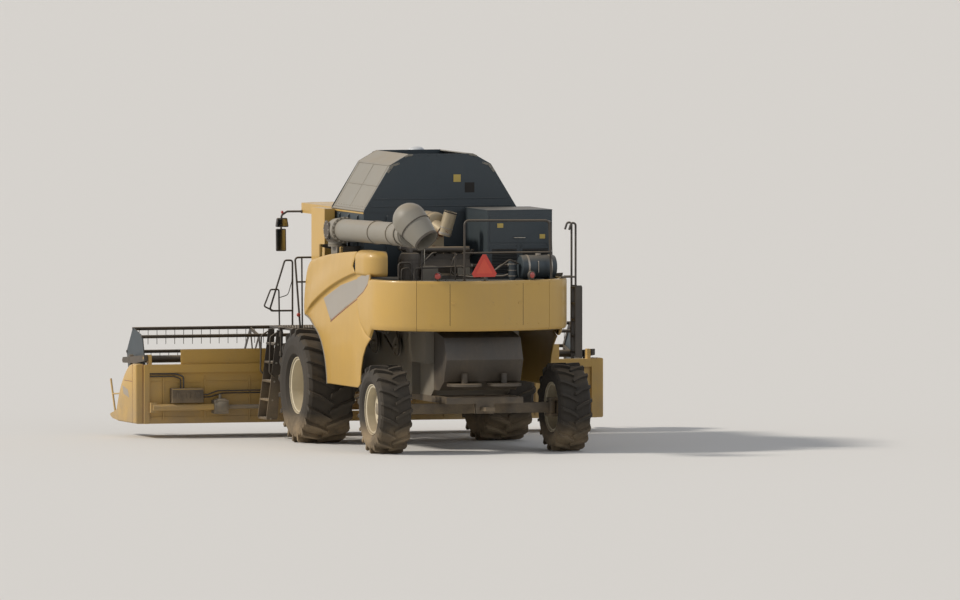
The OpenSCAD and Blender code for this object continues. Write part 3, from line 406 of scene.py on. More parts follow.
def make(form, name, coats, bevel=0.0, body="machine", angle=32):
    """Turns a form into a finished piece."""
    coats = coats if isinstance(coats, list) else [coats]
    bm = form.bm
    bmesh.ops.remove_doubles(bm, verts=bm.verts, dist=0.01)
    bmesh.ops.recalc_face_normals(bm, faces=bm.faces)
    mesh = bpy.data.meshes.new(name)
    bm.to_mesh(mesh)
    bm.free()
    for m in coats:
        mesh.materials.append(m)
    mesh.shade_smooth()
    mesh.set_sharp_from_angle(angle=math.radians(angle))
    o = put(mesh, name, body)
    if bevel:
        soft = o.modifiers.new("soft_edges", "BEVEL")
        soft.width = bevel / 1000
        soft.segments = 2
        soft.angle_limit = math.radians(angle)
        soft.harden_normals = True
    return o


# What repeats: small shapes set on points by geometry nodes


def spot_tree(name, inputs, shape, level=False):
    """A tree that sets a shape on each point, turned to its facing, and, where asked, level along its other way."""
    mesh = ("Geometry", "Geometry")
    tree = new_tree("Geometry", name, [mesh, *inputs, ("Material", "Material")], [mesh])
    w = Wiring(tree)
    given = w.node("NodeGroupInput").outputs
    turn = None
    for label_, axis, pivot in (("facing", "Z", "AUTO"), ("along", "X", "Z"))[:1 + level]:
        way = w.node("GeometryNodeInputNamedAttribute", {"Name": label_}, data_type="FLOAT_VECTOR")
        feeds = {"Vector": way.outputs["Attribute"]} | ({"Rotation": turn} if turn else {})
        turn = w.node("FunctionNodeAlignRotationToVector", feeds, axis=axis, pivot_axis=pivot).outputs[0]
    spread = w.node("GeometryNodeInstanceOnPoints", {"Points": given["Geometry"], "Instance": shape(w, given),
                                                     "Rotation": turn})
    real = w.node("GeometryNodeRealizeInstances", {0: spread.outputs[0]})
    coated = w.node("GeometryNodeSetMaterial", {"Geometry": real.outputs[0], "Material": given["Material"]})
    w.node("NodeGroupOutput", {"Geometry": coated.outputs[0]})
    return tree


def bolt(w, given):
    """A hexagon head on its washer."""
    radius = given["Head Radius"]
    both = w.node("GeometryNodeJoinGeometry")
    for corners, wide, thick, rise in ((6, radius, 0.75, 0.72), (14, w.times(radius, 1.45), 0.22, 0.4)):
        depth = w.times(radius, thick)
        part = w.node("GeometryNodeMeshCylinder", {"Vertices": corners, "Radius": wide, "Depth": depth})
        lift = w.node("ShaderNodeCombineXYZ", {"Z": w.times(depth, rise)}).outputs[0]
        moved = w.node("GeometryNodeTransform", {"Geometry": part.outputs["Mesh"], "Translation": lift})
        w.wire(both, {0: moved.outputs[0]})
    return both.outputs[0]


def stud(w, given):
    """A low round stud, as in the grip of a step."""
    return w.node("GeometryNodeMeshCone", {"Vertices": 8, "Radius Top": w.times(given["Radius"], 0.62),
                                           "Radius Bottom": given["Radius"], "Depth": given["Height"]}).outputs["Mesh"]


def slat(w, given):
    return w.node("GeometryNodeMeshCube", {"Size": given["Size"]}).outputs["Mesh"]


BOLTS = spot_tree("bolt_heads", [("Head Radius", "Float", 0.01)], bolt)
KNOBS = spot_tree("round_studs", [("Radius", "Float", 0.008), ("Height", "Float", 0.004)], stud)
SLATS = spot_tree("slats", [("Size", "Vector", (0.4, 0.01, 0.02))], slat, level=True)


def scatter(tree, name, spots, coat_, body="machine", slot=None, **sizes):
    """Runs a tree on (place, facing) or (place, facing, along) spots and keeps the result as a plain mesh."""
    mesh = bpy.data.meshes.new(name + "_spots")
    mesh.from_pydata([place(s[0]) for s in spots], [], [])
    for i, label_ in enumerate(("facing", "along")[:len(spots[0]) - 1], 1):
        layer = mesh.attributes.new(label_, "FLOAT_VECTOR", "POINT")
        layer.data.foreach_set("vector", [c for s in spots for c in s[i]])
    o = add(name + "_spots", mesh)
    rule = o.modifiers.new("rule", "NODES")
    rule.node_group = tree
    sockets = {s.name: s.identifier for s in tree.interface.items_tree if s.in_out == "INPUT"}
    rule[sockets["Material"]] = coat_
    for key, value in sizes.items():
        rule[sockets[key.replace("_", " ")]] = value
    solid = bpy.data.meshes.new_from_object(o.evaluated_get(bpy.context.evaluated_depsgraph_get()))
    bpy.data.objects.remove(o)
    solid.name = name
    piece = add(name, solid)
    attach(piece, body)
    return piece


def bolts(name, spots, coat_, radius, body="machine"):
    scatter(BOLTS, name, spots, coat_, body, Head_Radius=radius)


def between(a, b, count):
    """Evenly spaced points from a to b."""
    return [Vector(a).lerp(Vector(b), i / (count - 1)) for i in range(count)]


# Side shields with their swept ledge

# Height of the ledge along the shield, read at seven places
ledge = np.poly1d(np.polyfit([600, 373, -288, -1116, -1943, -2606, -3000],
                             [1935, 2021, 2259, 2503, 2699, 2823, 2885], 3))
FACE_Y, FACE_MIDDLE, FACE_R = 1640, -1100, 30000  # the shield's widest place, where that is, and its flat arc
PANEL_SEAM = -2600
WHEEL_ARCH = arc((0, 925), 975, range(176, 103, -4))
SHIELD = [(380, 2050), (392, 2200), (390, 2350), (370, 2480), (330, 2615), (255, 2740), (160, 2840), (60, 2900),
          (-50, 2934), (-600, 3020), (-1190, 3086), (-2000, 3150), (PANEL_SEAM, 3185), (-2440, 2947), (-2592, 2790),
          (-2592, 2255), (-2740, 2000), (-2980, 1868), (-3180, 1810), (-3080, 1760), (-2930, 1660), (-2800, 1500),
          (-2720, 1300), (-2680, 1050), (-2560, 1000), (-1100, 1000)] + WHEEL_ARCH + [(60, 1990), (220, 2025)]


def step(t):
    t = min(max(t, 0.0), 1.0)
    return t * t * (3 - 2 * t)


def shield_plane(x):
    """Outer face of the shield before its ledge, a very flat arc."""
    return FACE_Y - FACE_R + math.sqrt(FACE_R ** 2 - (x - FACE_MIDDLE) ** 2)


def shield_face(x, z):
    """The upper part stands proud of a swept ledge and leans back to the top edge."""
    above = z - float(ledge(x))
    proud = 44 * step(above / 34) * (1 - 0.75 * step((above - 120) / 420))
    proud *= 0.35 + 0.65 * step((380 - x) / 600)
    hollow = 12 * step((0 - above) / 30) * step((above + 500) / 400)
    return shield_plane(x) + proud - hollow


def spaced(outline, apart):
    """The closed outline with points no further apart than asked."""
    dense = []
    for a, b in zip(outline, outline[1:] + outline[:1]):
        n = max(1, math.ceil(math.dist(a, b) / apart))
        dense += [(a[0] + (b[0] - a[0]) * i / n, a[1] + (b[1] - a[1]) * i / n) for i in range(n)]
    return dense


def filled(outline, inner):
    """Triangles over an outline that also use the inner points."""
    n = len(outline)
    spots = [Vector(p) for p in outline + inner]
    found = delaunay_2d_cdt(spots, [(i, (i + 1) % n) for i in range(n)], [], 1, 0.01)
    return [tuple(p) for p in found[0]], found[2]


def edge_distance(p, outline):
    a = np.array(outline)
    b = np.roll(a, -1, axis=0)
    q = np.array(p)
    t = np.clip(np.sum((q - a) * (b - a), axis=1) / np.maximum(np.sum((b - a) ** 2, axis=1), 1e-9), 0, 1)
    return float(np.min(np.linalg.norm(a + t[:, None] * (b - a) - q, axis=1)))


def sculpted(outline, face, rows, apart=45, roll=10):
    """Points over an outline with rows of them beside the ledge, each lifted to the face."""
    edge = spaced(outline, apart)
    xs = [p[0] for p in outline]
    inner = []
    for x in np.arange(min(xs) + apart, max(xs), apart):
        for r in rows:
            p = (float(x), float(ledge(x)) + r)
            if inside(p, outline) and edge_distance(p, edge) > 9:
                inner.append(p)
    for ring in (7, 20):
        inner += [q for q in shrunk(edge, ring) if inside(q, outline) and edge_distance(q, edge) > ring * 0.9]
    flat, faces = filled(edge, inner)
    lifted = []
    for p in flat:
        d = edge_distance(p, edge)
        lifted.append((p[0], face(*p) - roll * (1 - min(d / 20, 1)) ** 2, p[1]))
    return lifted, faces


def inside(p, outline):
    hit = False
    for (ax, ay), (bx, by) in zip(outline, outline[1:] + outline[:1]):
        if (ay > p[1]) != (by > p[1]) and p[0] < (bx - ax) * (p[1] - ay) / (by - ay) + ax:
            hit = not hit
    return hit


def shrunk(outline, by):
    """Points moved square to the outline, to both sides."""
    moved = []
    n = len(outline)
    for i, p in enumerate(outline):
        a, b = outline[i - 1], outline[(i + 1) % n]
        run = math.dist(a, b) or 1
        out = ((b[1] - a[1]) / run, -(b[0] - a[0]) / run)
        moved += [(p[0] + s * out[0] * by, p[1] + s * out[1] * by) for s in (-1, 1)]
    return moved


def sheet(name, outline, face, rows, side, body, coat_, thick, apart=45, roll=10):
    """A pressed sheet over an outline, made solid inwards, or a thin mark laid on the face."""
    lifted, faces = sculpted(outline, face, rows, apart, roll)
    bm = bmesh.new()
    spots = [bm.verts.new((x, side * y, z)) for x, y, z in lifted]
    for f in faces:
        bm.faces.new([spots[i] for i in f])
    for f in bm.faces:
        f.normal_update()
        if f.normal.y * side < 0:
            f.normal_flip()
    mesh = bpy.data.meshes.new(name)
    bm.to_mesh(mesh)
    bm.free()
    mesh.materials.append(coat_)
    mesh.shade_smooth()
    o = put(mesh, name, body)
    wall = o.modifiers.new("wall", "SOLIDIFY")
    wall.thickness, wall.offset = thick / 1000, -1
    return o


LEDGE_ROWS = [-900, -700, -520, -380, -260, -170, -110, -70, -42, -24, -12, -4, 4, 12, 20, 28, 38, 52, 75, 110, 150,
              200, 260, 330, 420, 520, 640]
STRIPE = [(-750, 2358), (-1190, 2022), (-2588, 2449), (-2588, 2752), (-1700, 2606)]
RED_LINE = [(-1165, 2008), (-1185, 1993), (-2588, 2421), (-2588, 2436)]
PANEL_RED = [(-2612, 2438), (-2944, 2543), (-3190, 2676), (-3186, 2686), (-2942, 2554), (-2612, 2450)]
PANEL_STRIPE = [(-2612, 2456), (-2940, 2560), (-3180, 2690), (-3280, 2832), (-2830, 2806), (-2612, 2758)]


def marked_face(x, z):
    return shield_face(x, z) + 1.2


for side, word in SIDES:
    body = word + "_shield"
    whole = sheet(word + "_shield_panel", SHIELD, shield_face, LEDGE_ROWS, side, body, yellow, 26)
    lugs = Form()
    for x, foot in ((-500, 2950), (-1650, 3060)):
        lug = ((-10, foot), (24, foot), (22, 3210), (12, 3222), (-12, 3222), (-22, 3210))
        for d in (-30, 14):
            lugs.plate("x", [(side * (1600 + a), b) for a, b in lug], x + d, x + d + 16)
    make(lugs, word + "_shield_lugs", yellow, 1.5, body=body)
    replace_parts(whole, body)
    sheet(word + "_shield_stripe", STRIPE, marked_face, [-420, -340, -260, -180, -110, -60], side, body, mark_grey,
          1.0, 60, 0)
    sheet(word + "_shield_red_line", RED_LINE, marked_face, [], side, body, stripe_red, 1.0, 60, 0)
    lip = Form()
    arch = [(x, side * (shield_plane(x) - 8), z) for x, z in WHEEL_ARCH + [(60, 1990), (215, 2023), (378, 2048)]]
    lip.pipe(arch, 15, sides=12)
    make(lip, word + "_arch_lip", machine_grey, body=body)

# Rear hood and corners

for side, word in SIDES:
    marks, line = Form(), Form()
    marks.plate("y", PANEL_STRIPE, side * 1619, side * 1621.2)
    line.plate("y", PANEL_RED, side * 1619, side * 1621.2)
    make(marks, word + "_corner_stripe", mark_grey)
    make(line, word + "_corner_red_line", stripe_red)

HOOD_X, HOOD_R = -2130, 2340  # middle and radius of the rear hood's arc


def on_hood(y, lift=0.0):
    """Point of the rear hood's outer face at this side place, and its outward direction."""
    a = math.asin(y / HOOD_R)
    out = Vector((-math.cos(a), math.sin(a), 0))
    return Vector((HOOD_X, 0, 0)) + out * (HOOD_R + lift), out


def hood_strip(form, y0, y1, z0, z1, lift=1.2, steps=12):
    """A thin band laid on the rear hood."""
    rings = []
    for i in range(steps + 1):
        y = y0 + (y1 - y0) * i / steps
        inner, out = on_hood(y, -2)
        outer, _ = on_hood(y, lift)
        rings.append([inner + UP * z0, outer + UP * z0, outer + UP * z1, inner + UP * z1])
    form.skin(rings)


# Near-black strips on the hood: painted shade of the panel gaps.
seams = Form()
for y in (-610, 610):
    hood_strip(seams, y - 3, y + 3, 2052, 2722, 0.8, 2)
make(seams, "hood_seams", soot_and_painted_shade)

fittings = Form()
for y in (560, -560):
    hood_strip(fittings, y - 34, y + 34, 2390, 2426, 8, 4)
make(fittings, "hood_latches", yellow, 3)

rows = [(on_hood(y)[0] + UP * z, on_hood(y)[1]) for z in (2075, 2700) for y in range(-900, 901, 200)]
bolts("hood_bolts", rows, yellow, 0.008)

lamp_cases, lenses = Form(), Form()
for y in (-800, 800):
    spot, out = on_hood(y, -60)
    base = spot + UP * 2845
    lamp_cases.turned([(-30, 0), (-30, 50), (-14, 64), (26, 66), (34, 60), (34, 52), (20, 50), (20, 0)], base, out)
    lamp_cases.pipe([base + Vector((10, 0, -82)), base + Vector((10, 0, -40))], 12)
    lenses.turned([(20, 0), (20, 50), (30, 48), (38, 36), (42, 16), (43, 0)], base, out)
    lamp_cases.disc(spot + Vector((10, 0, 2764)), UP, 34, 0, 6)
make(lamp_cases, "tail_lamp_cases", plastic, 1)
make(lenses, "tail_lamp_lenses", lamp_red)

# Slow vehicle plate on its bracket


def corner_cut(radius, trim):
    """A triangle with its corners cut off, on the plate's middle."""
    return arc((50, 2966), radius, [math.degrees(d) + turn for turn in (90, 210, 330) for d in (-trim, trim)])


border, heart, bracket = Form(), Form(), Form()
border.plate("x", corner_cut(225, 0.13), -4426, -4422)
heart.plate("x", corner_cut(150, 0.04), -4429, -4425)
bracket.block((-4422, 20, 2765), (-4414, 60, 3120))
bracket.block((-4422, -20, 2764), (-4380, 100, 2771))
make(border, "slow_plate_border", reflective_red, 1)
make(heart, "slow_plate_heart", orange, 1)
make(bracket, "slow_plate_bracket", plastic, 1)

# Red marker lamp on the platform's rear rail

marker = Form()
marker.turned([(-4, 0), (-4, 32), (12, 32), (22, 24), (26, 0)], (455, 1690, 2040), (-1, 0, 0), 24)
make(marker, "rail_marker_lens", lamp_red)

# Grain tank extension

TANK_REAR, TANK_FRONT, TANK_TOP = -1875, -75, 3770
COVER_IN, COVER_UP = 451, 766  # how far a side cover leans in, and rises
COVER_Y, COVER_Z = 1282, 3790  # its foot
folds = Form()
for z in (TANK_TOP + 95, TANK_TOP + 215):
    half = 1230 - COVER_IN * (z - TANK_TOP) / COVER_UP
    for x, out in ((TANK_REAR, -1), (TANK_FRONT, 1)):
        folds.plate("x", [(-half, z - 9), (half, z - 9), (half - 6, z + 9), (-half + 6, z + 9)], x + out * 8,
                    x + out * 16)
make(folds, "end_wall_folds", dark, 3)

corners, blank, sight = Form(), Form(), Form()
for x, out in ((TANK_REAR, -1), (TANK_FRONT, 1)):
    a, b = sorted((x + out * 8, x + out * 14))
    for s in (-1, 1):
        corners.plate("x", [(s * 832, 4532), (s * 700, 4575), (s * 690, 4545), (s * 800, 4505), (s * 880, 4400),
                            (s * 912, 4420)], a, b)
        corners.plate("x", [(s * 534, 4702), (s * 470, 4702), (s * 470, 4672), (s * 540, 4668), (s * 600, 4650),
                            (s * 606, 4676)], a, b)
blank.plate("x", [(-330, 4250), (-210, 4250), (-210, 4370), (-330, 4370)], TANK_REAR - 14, TANK_REAR - 8)
# The sight glass is a near-black plate: painted shade of the unlit tank behind it.
sight.plate("x", [(-560, 4080), (-400, 4080), (-400, 4240), (-560, 4240)], TANK_REAR - 12, TANK_REAR - 8)
make(corners, "end_wall_corner_plates", light_grey, 1.5)
make(blank, "blank_tank_plate", label, 1)
make(sight, "tank_sight_glass", soot_and_painted_shade, 1)

rows = []
for x, out in ((TANK_REAR - 8, -1), (TANK_FRONT + 8, 1)):
    for s in (-1, 1):
        rows += [(p, (out, 0, 0)) for p in between((x, s * 1225, 3830), (x, s * 850, 4465), 9)]
        rows += [(p, (out, 0, 0)) for p in between((x, s * 790, 4515), (x, s * 560, 4650), 4)]
    rows += [(p, (out, 0, 0)) for p in between((x, -480, 4675), (x, 480, 4675), 8)]
bolts("end_wall_bolts", rows, dark, 0.009)

for side, word in SIDES:
    creases = Form()
    foot = Vector((0, COVER_Y, COVER_Z))
    slope = Vector((0, -COVER_IN, COVER_UP)).normalized()
    out = Vector((0, COVER_UP, COVER_IN)).normalized()
    fold = ((-2, -12), (7, -5), (7, 5), (-2, 12))
    for d in (40, 470, 850):
        ring = [foot + slope * (d + b) + out * a for a, b in fold]
        creases.skin([[(x, side * p.y, p.z) for p in ring] for x in (-1840, -110)])
    for x in (-1780, -975, -170):
        creases.skin([[(x + b, side * (p.y + out.y * a), p.z + out.z * a)
                       for a, b in ((-2, -14), (6, -7), (6, 7), (-2, 14))]
                      for p in (foot + slope * 60, foot + slope * 840)])
    make(creases, word + "_cover_ribs", light_grey, 1, body=word + "_cover")
    z = 3860
    y = COVER_Y - COVER_IN / COVER_UP * (z - COVER_Z) + 1
    rows = [((x, side * y, z), (0, side * out.y, out.z)) for x in range(-1800, -100, 150)]
    bolts(word + "_cover_bolts", rows, zinc, 0.008, word + "_cover")

rim = Form(mirrored=True)
rim.block((TANK_REAR + 5, 1287, 3748), (-190, 1301, 3774))
make(rim, "tank_rim_strips", yellow, 2)

ribs = Form()
for s in (-1, 1):
    for x in (-1560, -1060, -560):
        ribs.plate("x", [(s * 1289, 2650), (s * 1316, 2680), (s * 1316, 3700), (s * 1289, 3730)], x - 16, x + 16)
for y in (-900, -450, 0, 450, 900):
    ribs.plate("y", [(TANK_REAR + 1, 2650), (TANK_REAR - 22, 2680), (TANK_REAR - 22, 3700), (TANK_REAR + 1, 3730)],
               y - 16, y + 16)
make(ribs, "tank_side_ribs", dark, 2)

# Unloading tube: bolt ring, clamp seams, elbow cover and the spout's rubber lip

UNLOAD = Vector((-1120, 1505, 3475))
SPOUT_TOP = Vector((-5139, 1505, 3783))
TUBE_WAY = Vector((-math.cos(math.radians(1.06)), 0, math.sin(math.radians(1.06))))
SPOUT_WAY = Vector((-0.58, -0.425, -0.694)).normalized()


def ring_spots(middle, way, radius, count, facing=None, start=0.0):
    """Places round a circle; they face along the axis or away from it."""
    side = square_to(way)
    other = way.cross(side)
    found = []
    for i in range(count):
        a = start + 2 * math.pi * i / count
        out = side * math.cos(a) + other * math.sin(a)
        found.append((middle + out * radius, facing if facing is not None else out))
    return found


bands = Form()
for d in (372, 412):
    bands.band(UNLOAD, TUBE_WAY, 176, 212, d, d + 14, 56)
for d in (2236, 3246):
    bands.turned([(d, 176), (d, 190), (d + 4, 192), (d + 22, 192), (d + 26, 190), (d + 26, 176)], UNLOAD, TUBE_WAY, 56,
                 joined=True)
bands.turned([(3960, 176), (3960, 200), (3990, 204), (4000, 176)], UNLOAD, TUBE_WAY, 56, joined=True)
make(bands, "tube_flanges", machine_grey, 1, body="unloader")
rows = ring_spots(UNLOAD + TUBE_WAY * 426, TUBE_WAY, 198, 18, TUBE_WAY)
rows += ring_spots(UNLOAD + TUBE_WAY * 372, TUBE_WAY, 198, 18, -TUBE_WAY)
bolts("tube_flange_bolts", rows, zinc, 0.01, "unloader")

elbow = Form()
elbow.plate("y", arc((-1120, 3475), 150, range(0, 360, 15)), 1683, 1695)
elbow.block((-1180, 1690, 3470), (-960, 1696, 3500))
elbow.band((-1120, 1505, 3322), UP, 150, 176, -30, 0, 48)
elbow.pipe([(-1240, 1420, 3345), (-1290, 1380, 3345), (-1290, 1340, 3345), (-1290, 1296, 3345)], 30, 20)
make(elbow, "elbow_cover", plastic, 2, body="unloader")
rows = ring_spots(Vector((-1120, 1695, 3475)), LEFT, 128, 8, LEFT)
bolts("elbow_bolts", rows, zinc, 0.01, "unloader")

lip = Form()
lip.turned([(440, 206), (440, 213), (476, 213), (479, 208), (479, 194), (440, 194)], SPOUT_TOP, SPOUT_WAY, 64,
           joined=True)
lip.turned([(150, 262), (152, 268), (166, 266), (168, 260)], SPOUT_TOP, SPOUT_WAY, 64, joined=True)
make(lip, "spout_lip", belt_rubber, 1, body="unloader")
seal = Form()
seal.band(UNLOAD + TUBE_WAY * 3700, TUBE_WAY, 186, 196, -30, 30, 48)
make(seal, "spout_collar", machine_grey, 1, body="unloader")

# Exhaust: dark tip, heat straps and the bend's clamps

tip = Form()
tail_low, tail_high = Vector((-2758, 215, 3430)), Vector((-2800, 115, 3810))
way = (tail_high - tail_low).normalized()
tip.turned([(150, 84), (150, 90), (372, 90), (372, 108), (392, 108), (394, 98), (392, 84)], tail_low, way, 40,
           joined=True)
tip.disc(tail_low + way * 120, way, 86, -1, 6, 40)
make(tip, "exhaust_tip", soot_and_painted_shade, 1)
straps = Form()
for x in (-2480, -2060):
    straps.band((x, 289, 3594), AHEAD, 199, 206, 0, 50, 48)
straps.band(tail_low, way, 106, 112, 20, 50, 40)
straps.band(tail_low, way, 106, 110, 120, 134, 40)
make(straps, "muffler_straps", worn_steel, 1)

# Engine bay: pipes, hoses, filters, belt and small fittings

DECK = 2740
ON_DECK = (0, 0, DECK)
CYLINDERS = range(-100, 701, 160)
lines = Form(ON_DECK)
lines.pipe([(-2900, 930, 500), (-2700, 930, 500), (-2500, 700, 560), (-2360, 420, 560), (-2360, 380, 560)], 52, 90, 20)
lines.pipe([(-2440, -180, 330), (-2440, -300, 330), (-2440, -340, 420), (-2440, -384, 420)], 34, 30, 16)
lines.pipe([(-2860, -180, 200), (-2860, -290, 200), (-2820, -384, 160)], 34, 40, 16)
lines.pipe([(-3000, 700, 20), (-3060, 700, 220), (-3060, 500, 420), (-2950, 400, 420), (-2870, 400, 380)], 16, 50)
lines.pipe([(-3600, -600, 240), (-3600, -480, 240), (-3500, -300, 60), (-3300, -100, 40),
            (-3000, 100, 60), (-2955, 160, 120)], 15, 60)
lines.pipe([(-3560, -640, 90), (-3480, -560, 60), (-3250, -420, 50), (-3205, -400, 50)], 18, 50)
lines.pipe([(-3640, -760, 260), (-3700, -600, 330), (-3640, -360, 150), (-3300, -250, 20)], 13, 60)
lines.pipe([(-3030, 200, 30), (-3060, 150, 330), (-3000, 80, 380), (-2900, 60, 400)], 12, 50)
lines.pipe([(-3430, 1180, 0), (-3430, 1180, 290), (-3430, 960, 290), (-3430, 960, 0)], 14, 60)
lines.pipe([(-3420, 1130, 0), (-3400, 1120, 190), (-3420, 1000, 210), (-3470, 900, 0)], 11, 50)
make(lines, "engine_hoses", hose_rubber)

guard = Form(ON_DECK)
guard.pipe([(-3600, 966, 0), (-3600, 966, 205), (-3600, 130, 225), (-3600, 130, 0)], 14, 60)
guard.pipe([(-3700, 870, 0), (-3700, 870, 510)], 13)
guard.pipe([(-3660, 300, 0), (-3660, 300, 450)], 13)
for x, y in ((-3600, 966), (-3600, 130), (-3700, 870), (-3660, 300)):
    guard.disc((x, y, 0), UP, 30, 0, 8, 20)
make(guard, "engine_bay_guard", frame_black)

clamps = Form(ON_DECK)
for base, way, r in (((-2895, 930, 500), AHEAD, 60), ((-2440, -205, 330), (0, -1, 0), 36),
                     ((-2860, -205, 200), (0, -1, 0), 36), ((-3220, 930, 410), UP, 60),
                     ((-3600, -605, 240), LEFT, 18)):
    clamps.band(base, way, r - 8, r + 2, 0, 14, 28)
clamps.pipe([(-2330, 700, 20), (-2330, 700, 190), (-2400, 690, 240)], 9, 20)
clamps.pipe([(-2950, 640, 200), (-3080, 640, 200), (-3080, 640, 560), (-3080, 900, 640), (-3180, 940, 640)], 8, 40)
for y in CYLINDERS:
    clamps.pipe([(-2840, y + 30, 400), (-2880, y + 30, 440), (-2860, y + 30, 500), (-2790, y + 30, 492)], 5, 16, 10)
make(clamps, "engine_pipes", zinc)

dress = Form(ON_DECK)
for y in (200, 380):
    dress.turned([(0, 0), (0, 56), (10, 62), (150, 62), (165, 50), (170, 0)], (-2300, y, 120), (1, 0, 0.3), 28)
dress.block((-2990, -150, 40), (-2950, 60, 180))
dress.turned([(0, 0), (0, 80), (120, 80), (130, 60), (134, 0)], (-3000, 620, 170), LEFT, 32)
dress.block((-3380, 500, 0), (-3080, 760, 210))
dress.block((-3370, 510, 210), (-3090, 750, 222))
dress.turned([(0, 0), (0, 50), (30, 56), (30, 40), (60, 34), (60, 0)], (-2500, 500, 495), UP, 28)
make(dress, "engine_fittings", machine_grey, 3)

cleaner = Form(ON_DECK)
for z in (90, 180, 270, 330):
    cleaner.band((-3220, 930, 0), UP, 160, 170, z, z + 12, 40)
make(cleaner, "air_cleaner_bands", plastic, 1)


def belt_loop(form, wheels, y0, y1, thick=9):
    """A belt round two wheels given as (x, z, radius), between two side places."""
    (ax, az, ar), (bx, bz, br) = wheels
    run = math.hypot(bx - ax, bz - az)
    tilt = math.atan2(bz - az, bx - ax)
    lean = math.acos((ar - br) / run)
    path = [(ax + ar * math.cos(tilt + a), az + ar * math.sin(tilt + a)) for a in
            np.linspace(lean, 2 * math.pi - lean, 28)]
    path += [(bx + br * math.cos(tilt + a), bz + br * math.sin(tilt + a)) for a in np.linspace(-lean, lean, 28)]
    rings = []
    for i, p in enumerate(path):
        a, b = path[i - 1], path[(i + 1) % len(path)]
        run_ = math.dist(a, b)
        out = ((b[1] - a[1]) / run_, -(b[0] - a[0]) / run_)
        q = (p[0] + out[0] * thick, p[1] + out[1] * thick)
        rings.append([(p[0], y0, p[1]), (p[0], y1, p[1]), (q[0], y1, q[1]), (q[0], y0, q[1])])
    form.skin(rings, joined=True)


# Pulleys on the body's sides as (x, height, radius), in pairs that share a belt
PULLEYS = {1: [(-330, 1990, 250), (-1010, 1660, 190), (-1560, 2120, 320), (-2230, 1640, 160), (-2280, 2330, 130)],
           -1: [(-420, 1800, 300), (-1240, 1560, 150), (-1680, 2200, 210), (-2320, 1780, 260)]}
belts = Form()
belt_loop(belts, ((-2650, DECK + 175, 150), (-2860, DECK + 270, 95)), 826, 844)
belt_loop(belts, ((-2650, DECK + 175, 150), (-2430, DECK + 260, 80)), 846, 864)
for side, pulleys in PULLEYS.items():
    for pair in (pulleys[:2], pulleys[2:4]):
        belt_loop(belts, [(x, h, r - 24) for x, h, r in pair], side * 833, side * 857, 20)
make(belts, "drive_belts", belt_rubber)

rows = []
for y in CYLINDERS:
    for x in (-2777, -2523):
        rows += [((x, y + d, DECK + 462), UP) for d in (-50, 50)]
for x in (-2990, -2310):
    rows += [(p, UP) for p in between((x, -150, DECK + 60), (x, 760, DECK + 60), 7)]
bolts("engine_bolts", rows, zinc, 0.01)

# Cooling box: rear doors, blank plates, latches and the dust screen on its right side

box = Form()
for y0, y1, z0, z1 in ((-1425, -930, 2800, 3290), (-900, -415, 2800, 3290), (-1425, -415, 3320, 3760)):
    box.block((-3206, y0, z0), (-3198, y1, z1))
box.block((-3204, -1464, 3828), (-1956, -376, 3846))
for y in (-1390, -960, -870, -450):
    box.block((-3212, y - 14, 3250), (-3204, y + 14, 3300))
make(box, "cooling_box_doors", dark, 3)

# Near-black plates behind the slats: painted shade of the vents' openings.
grille = Form()
grille.block((-3207, -1390, 2840), (-3204, -965, 3220))
grille.block((-3207, -865, 2840), (-3204, -450, 3220))
make(grille, "cooling_box_vents", soot_and_painted_shade)
rows = []
for y in (-1178, -657):
    rows += [((-3212, y, h), (-0.8, 0, 0.6), LEFT) for h in range(2860, 3220, 24)]
scatter(SLATS, "cooling_box_slats", rows, dark, Size=(0.42, 0.004, 0.022))

handles = Form()
for y in (-945, -915):
    handles.pipe([(-3206, y, 3020), (-3232, y, 3020), (-3232, y, 3110), (-3206, y, 3110)], 6, 8, 10)
handles.pipe([(-3206, -1000, 3400), (-3236, -1000, 3400), (-3236, -820, 3400), (-3206, -820, 3400)], 6, 8, 10)
make(handles, "cooling_box_handles", zinc)
plates = Form()
plates.block((-3209, -640, 3560), (-3205, -540, 3630))
plates.block((-3209, -1340, 3380), (-3205, -1250, 3450))
make(plates, "blank_yellow_plates", label, 1)

dust_screen = Form()
dust_screen.turned([(0, 0), (0, 398), (16, 404), (34, 396), (40, 330), (52, 60), (54, 0)], (-2580, -1420, 3300),
                   (0, -1, 0), 72)
make(dust_screen, "rotary_dust_screen", screen)
wand = Form()
wand.turned([(0, 402), (0, 432), (26, 440), (34, 424), (30, 402)], (-2580, -1440, 3300), (0, -1, 0), 72, joined=True)
wand.plate("y", [(-2620, 3300), (-2540, 3300), (-2560, 3726), (-2600, 3726)], -1506, -1482)
wand.turned([(0, 0), (0, 60), (20, 60), (24, 50), (24, 0)], (-2580, -1486, 3300), (0, -1, 0), 32)
make(wand, "dust_screen_frame", dark, 2)

# Deck: floor grip and hatch

rows = [((x, y + (30 if (x // 60) % 2 else 0), DECK), UP) for x in range(-4180, -3760, 60)
        for y in range(-900, 1000, 60)]
scatter(KNOBS, "deck_grip", rows, frame_black, Radius=0.011, Height=0.005)
hatch = Form(ON_DECK)
hatch.block((-4180, 300, 0), (-3480, 860, 10))
hatch.pipe([(-4100, 560, 8), (-4100, 560, 34), (-3980, 560, 34), (-3980, 560, 8)], 7, 12)
make(hatch, "deck_hatch", dark, 2)

# Oil drum: bands, filler cap and sight pipe

drum = Form(ON_DECK)
for y in (-1290, -920):
    drum.band((-3600, y, 205), LEFT, 188, 195, 0, 30, 48)
drum.turned([(0, 0), (0, 44), (40, 44), (46, 38), (46, 0)], (-3600, -1100, 392), UP, 28)
drum.pipe([(-3780, -1050, 120), (-3804, -1050, 120), (-3804, -1050, 300), (-3776, -1050, 300)], 7, 12)
for z in (60, 150, 250):
    drum.band((-3600, -670, 0), UP, 62, 70, z, z + 12, 32)
make(drum, "oil_drum_fittings", worn_steel, 1.5)

# Engine across the deck, in place of its plain block

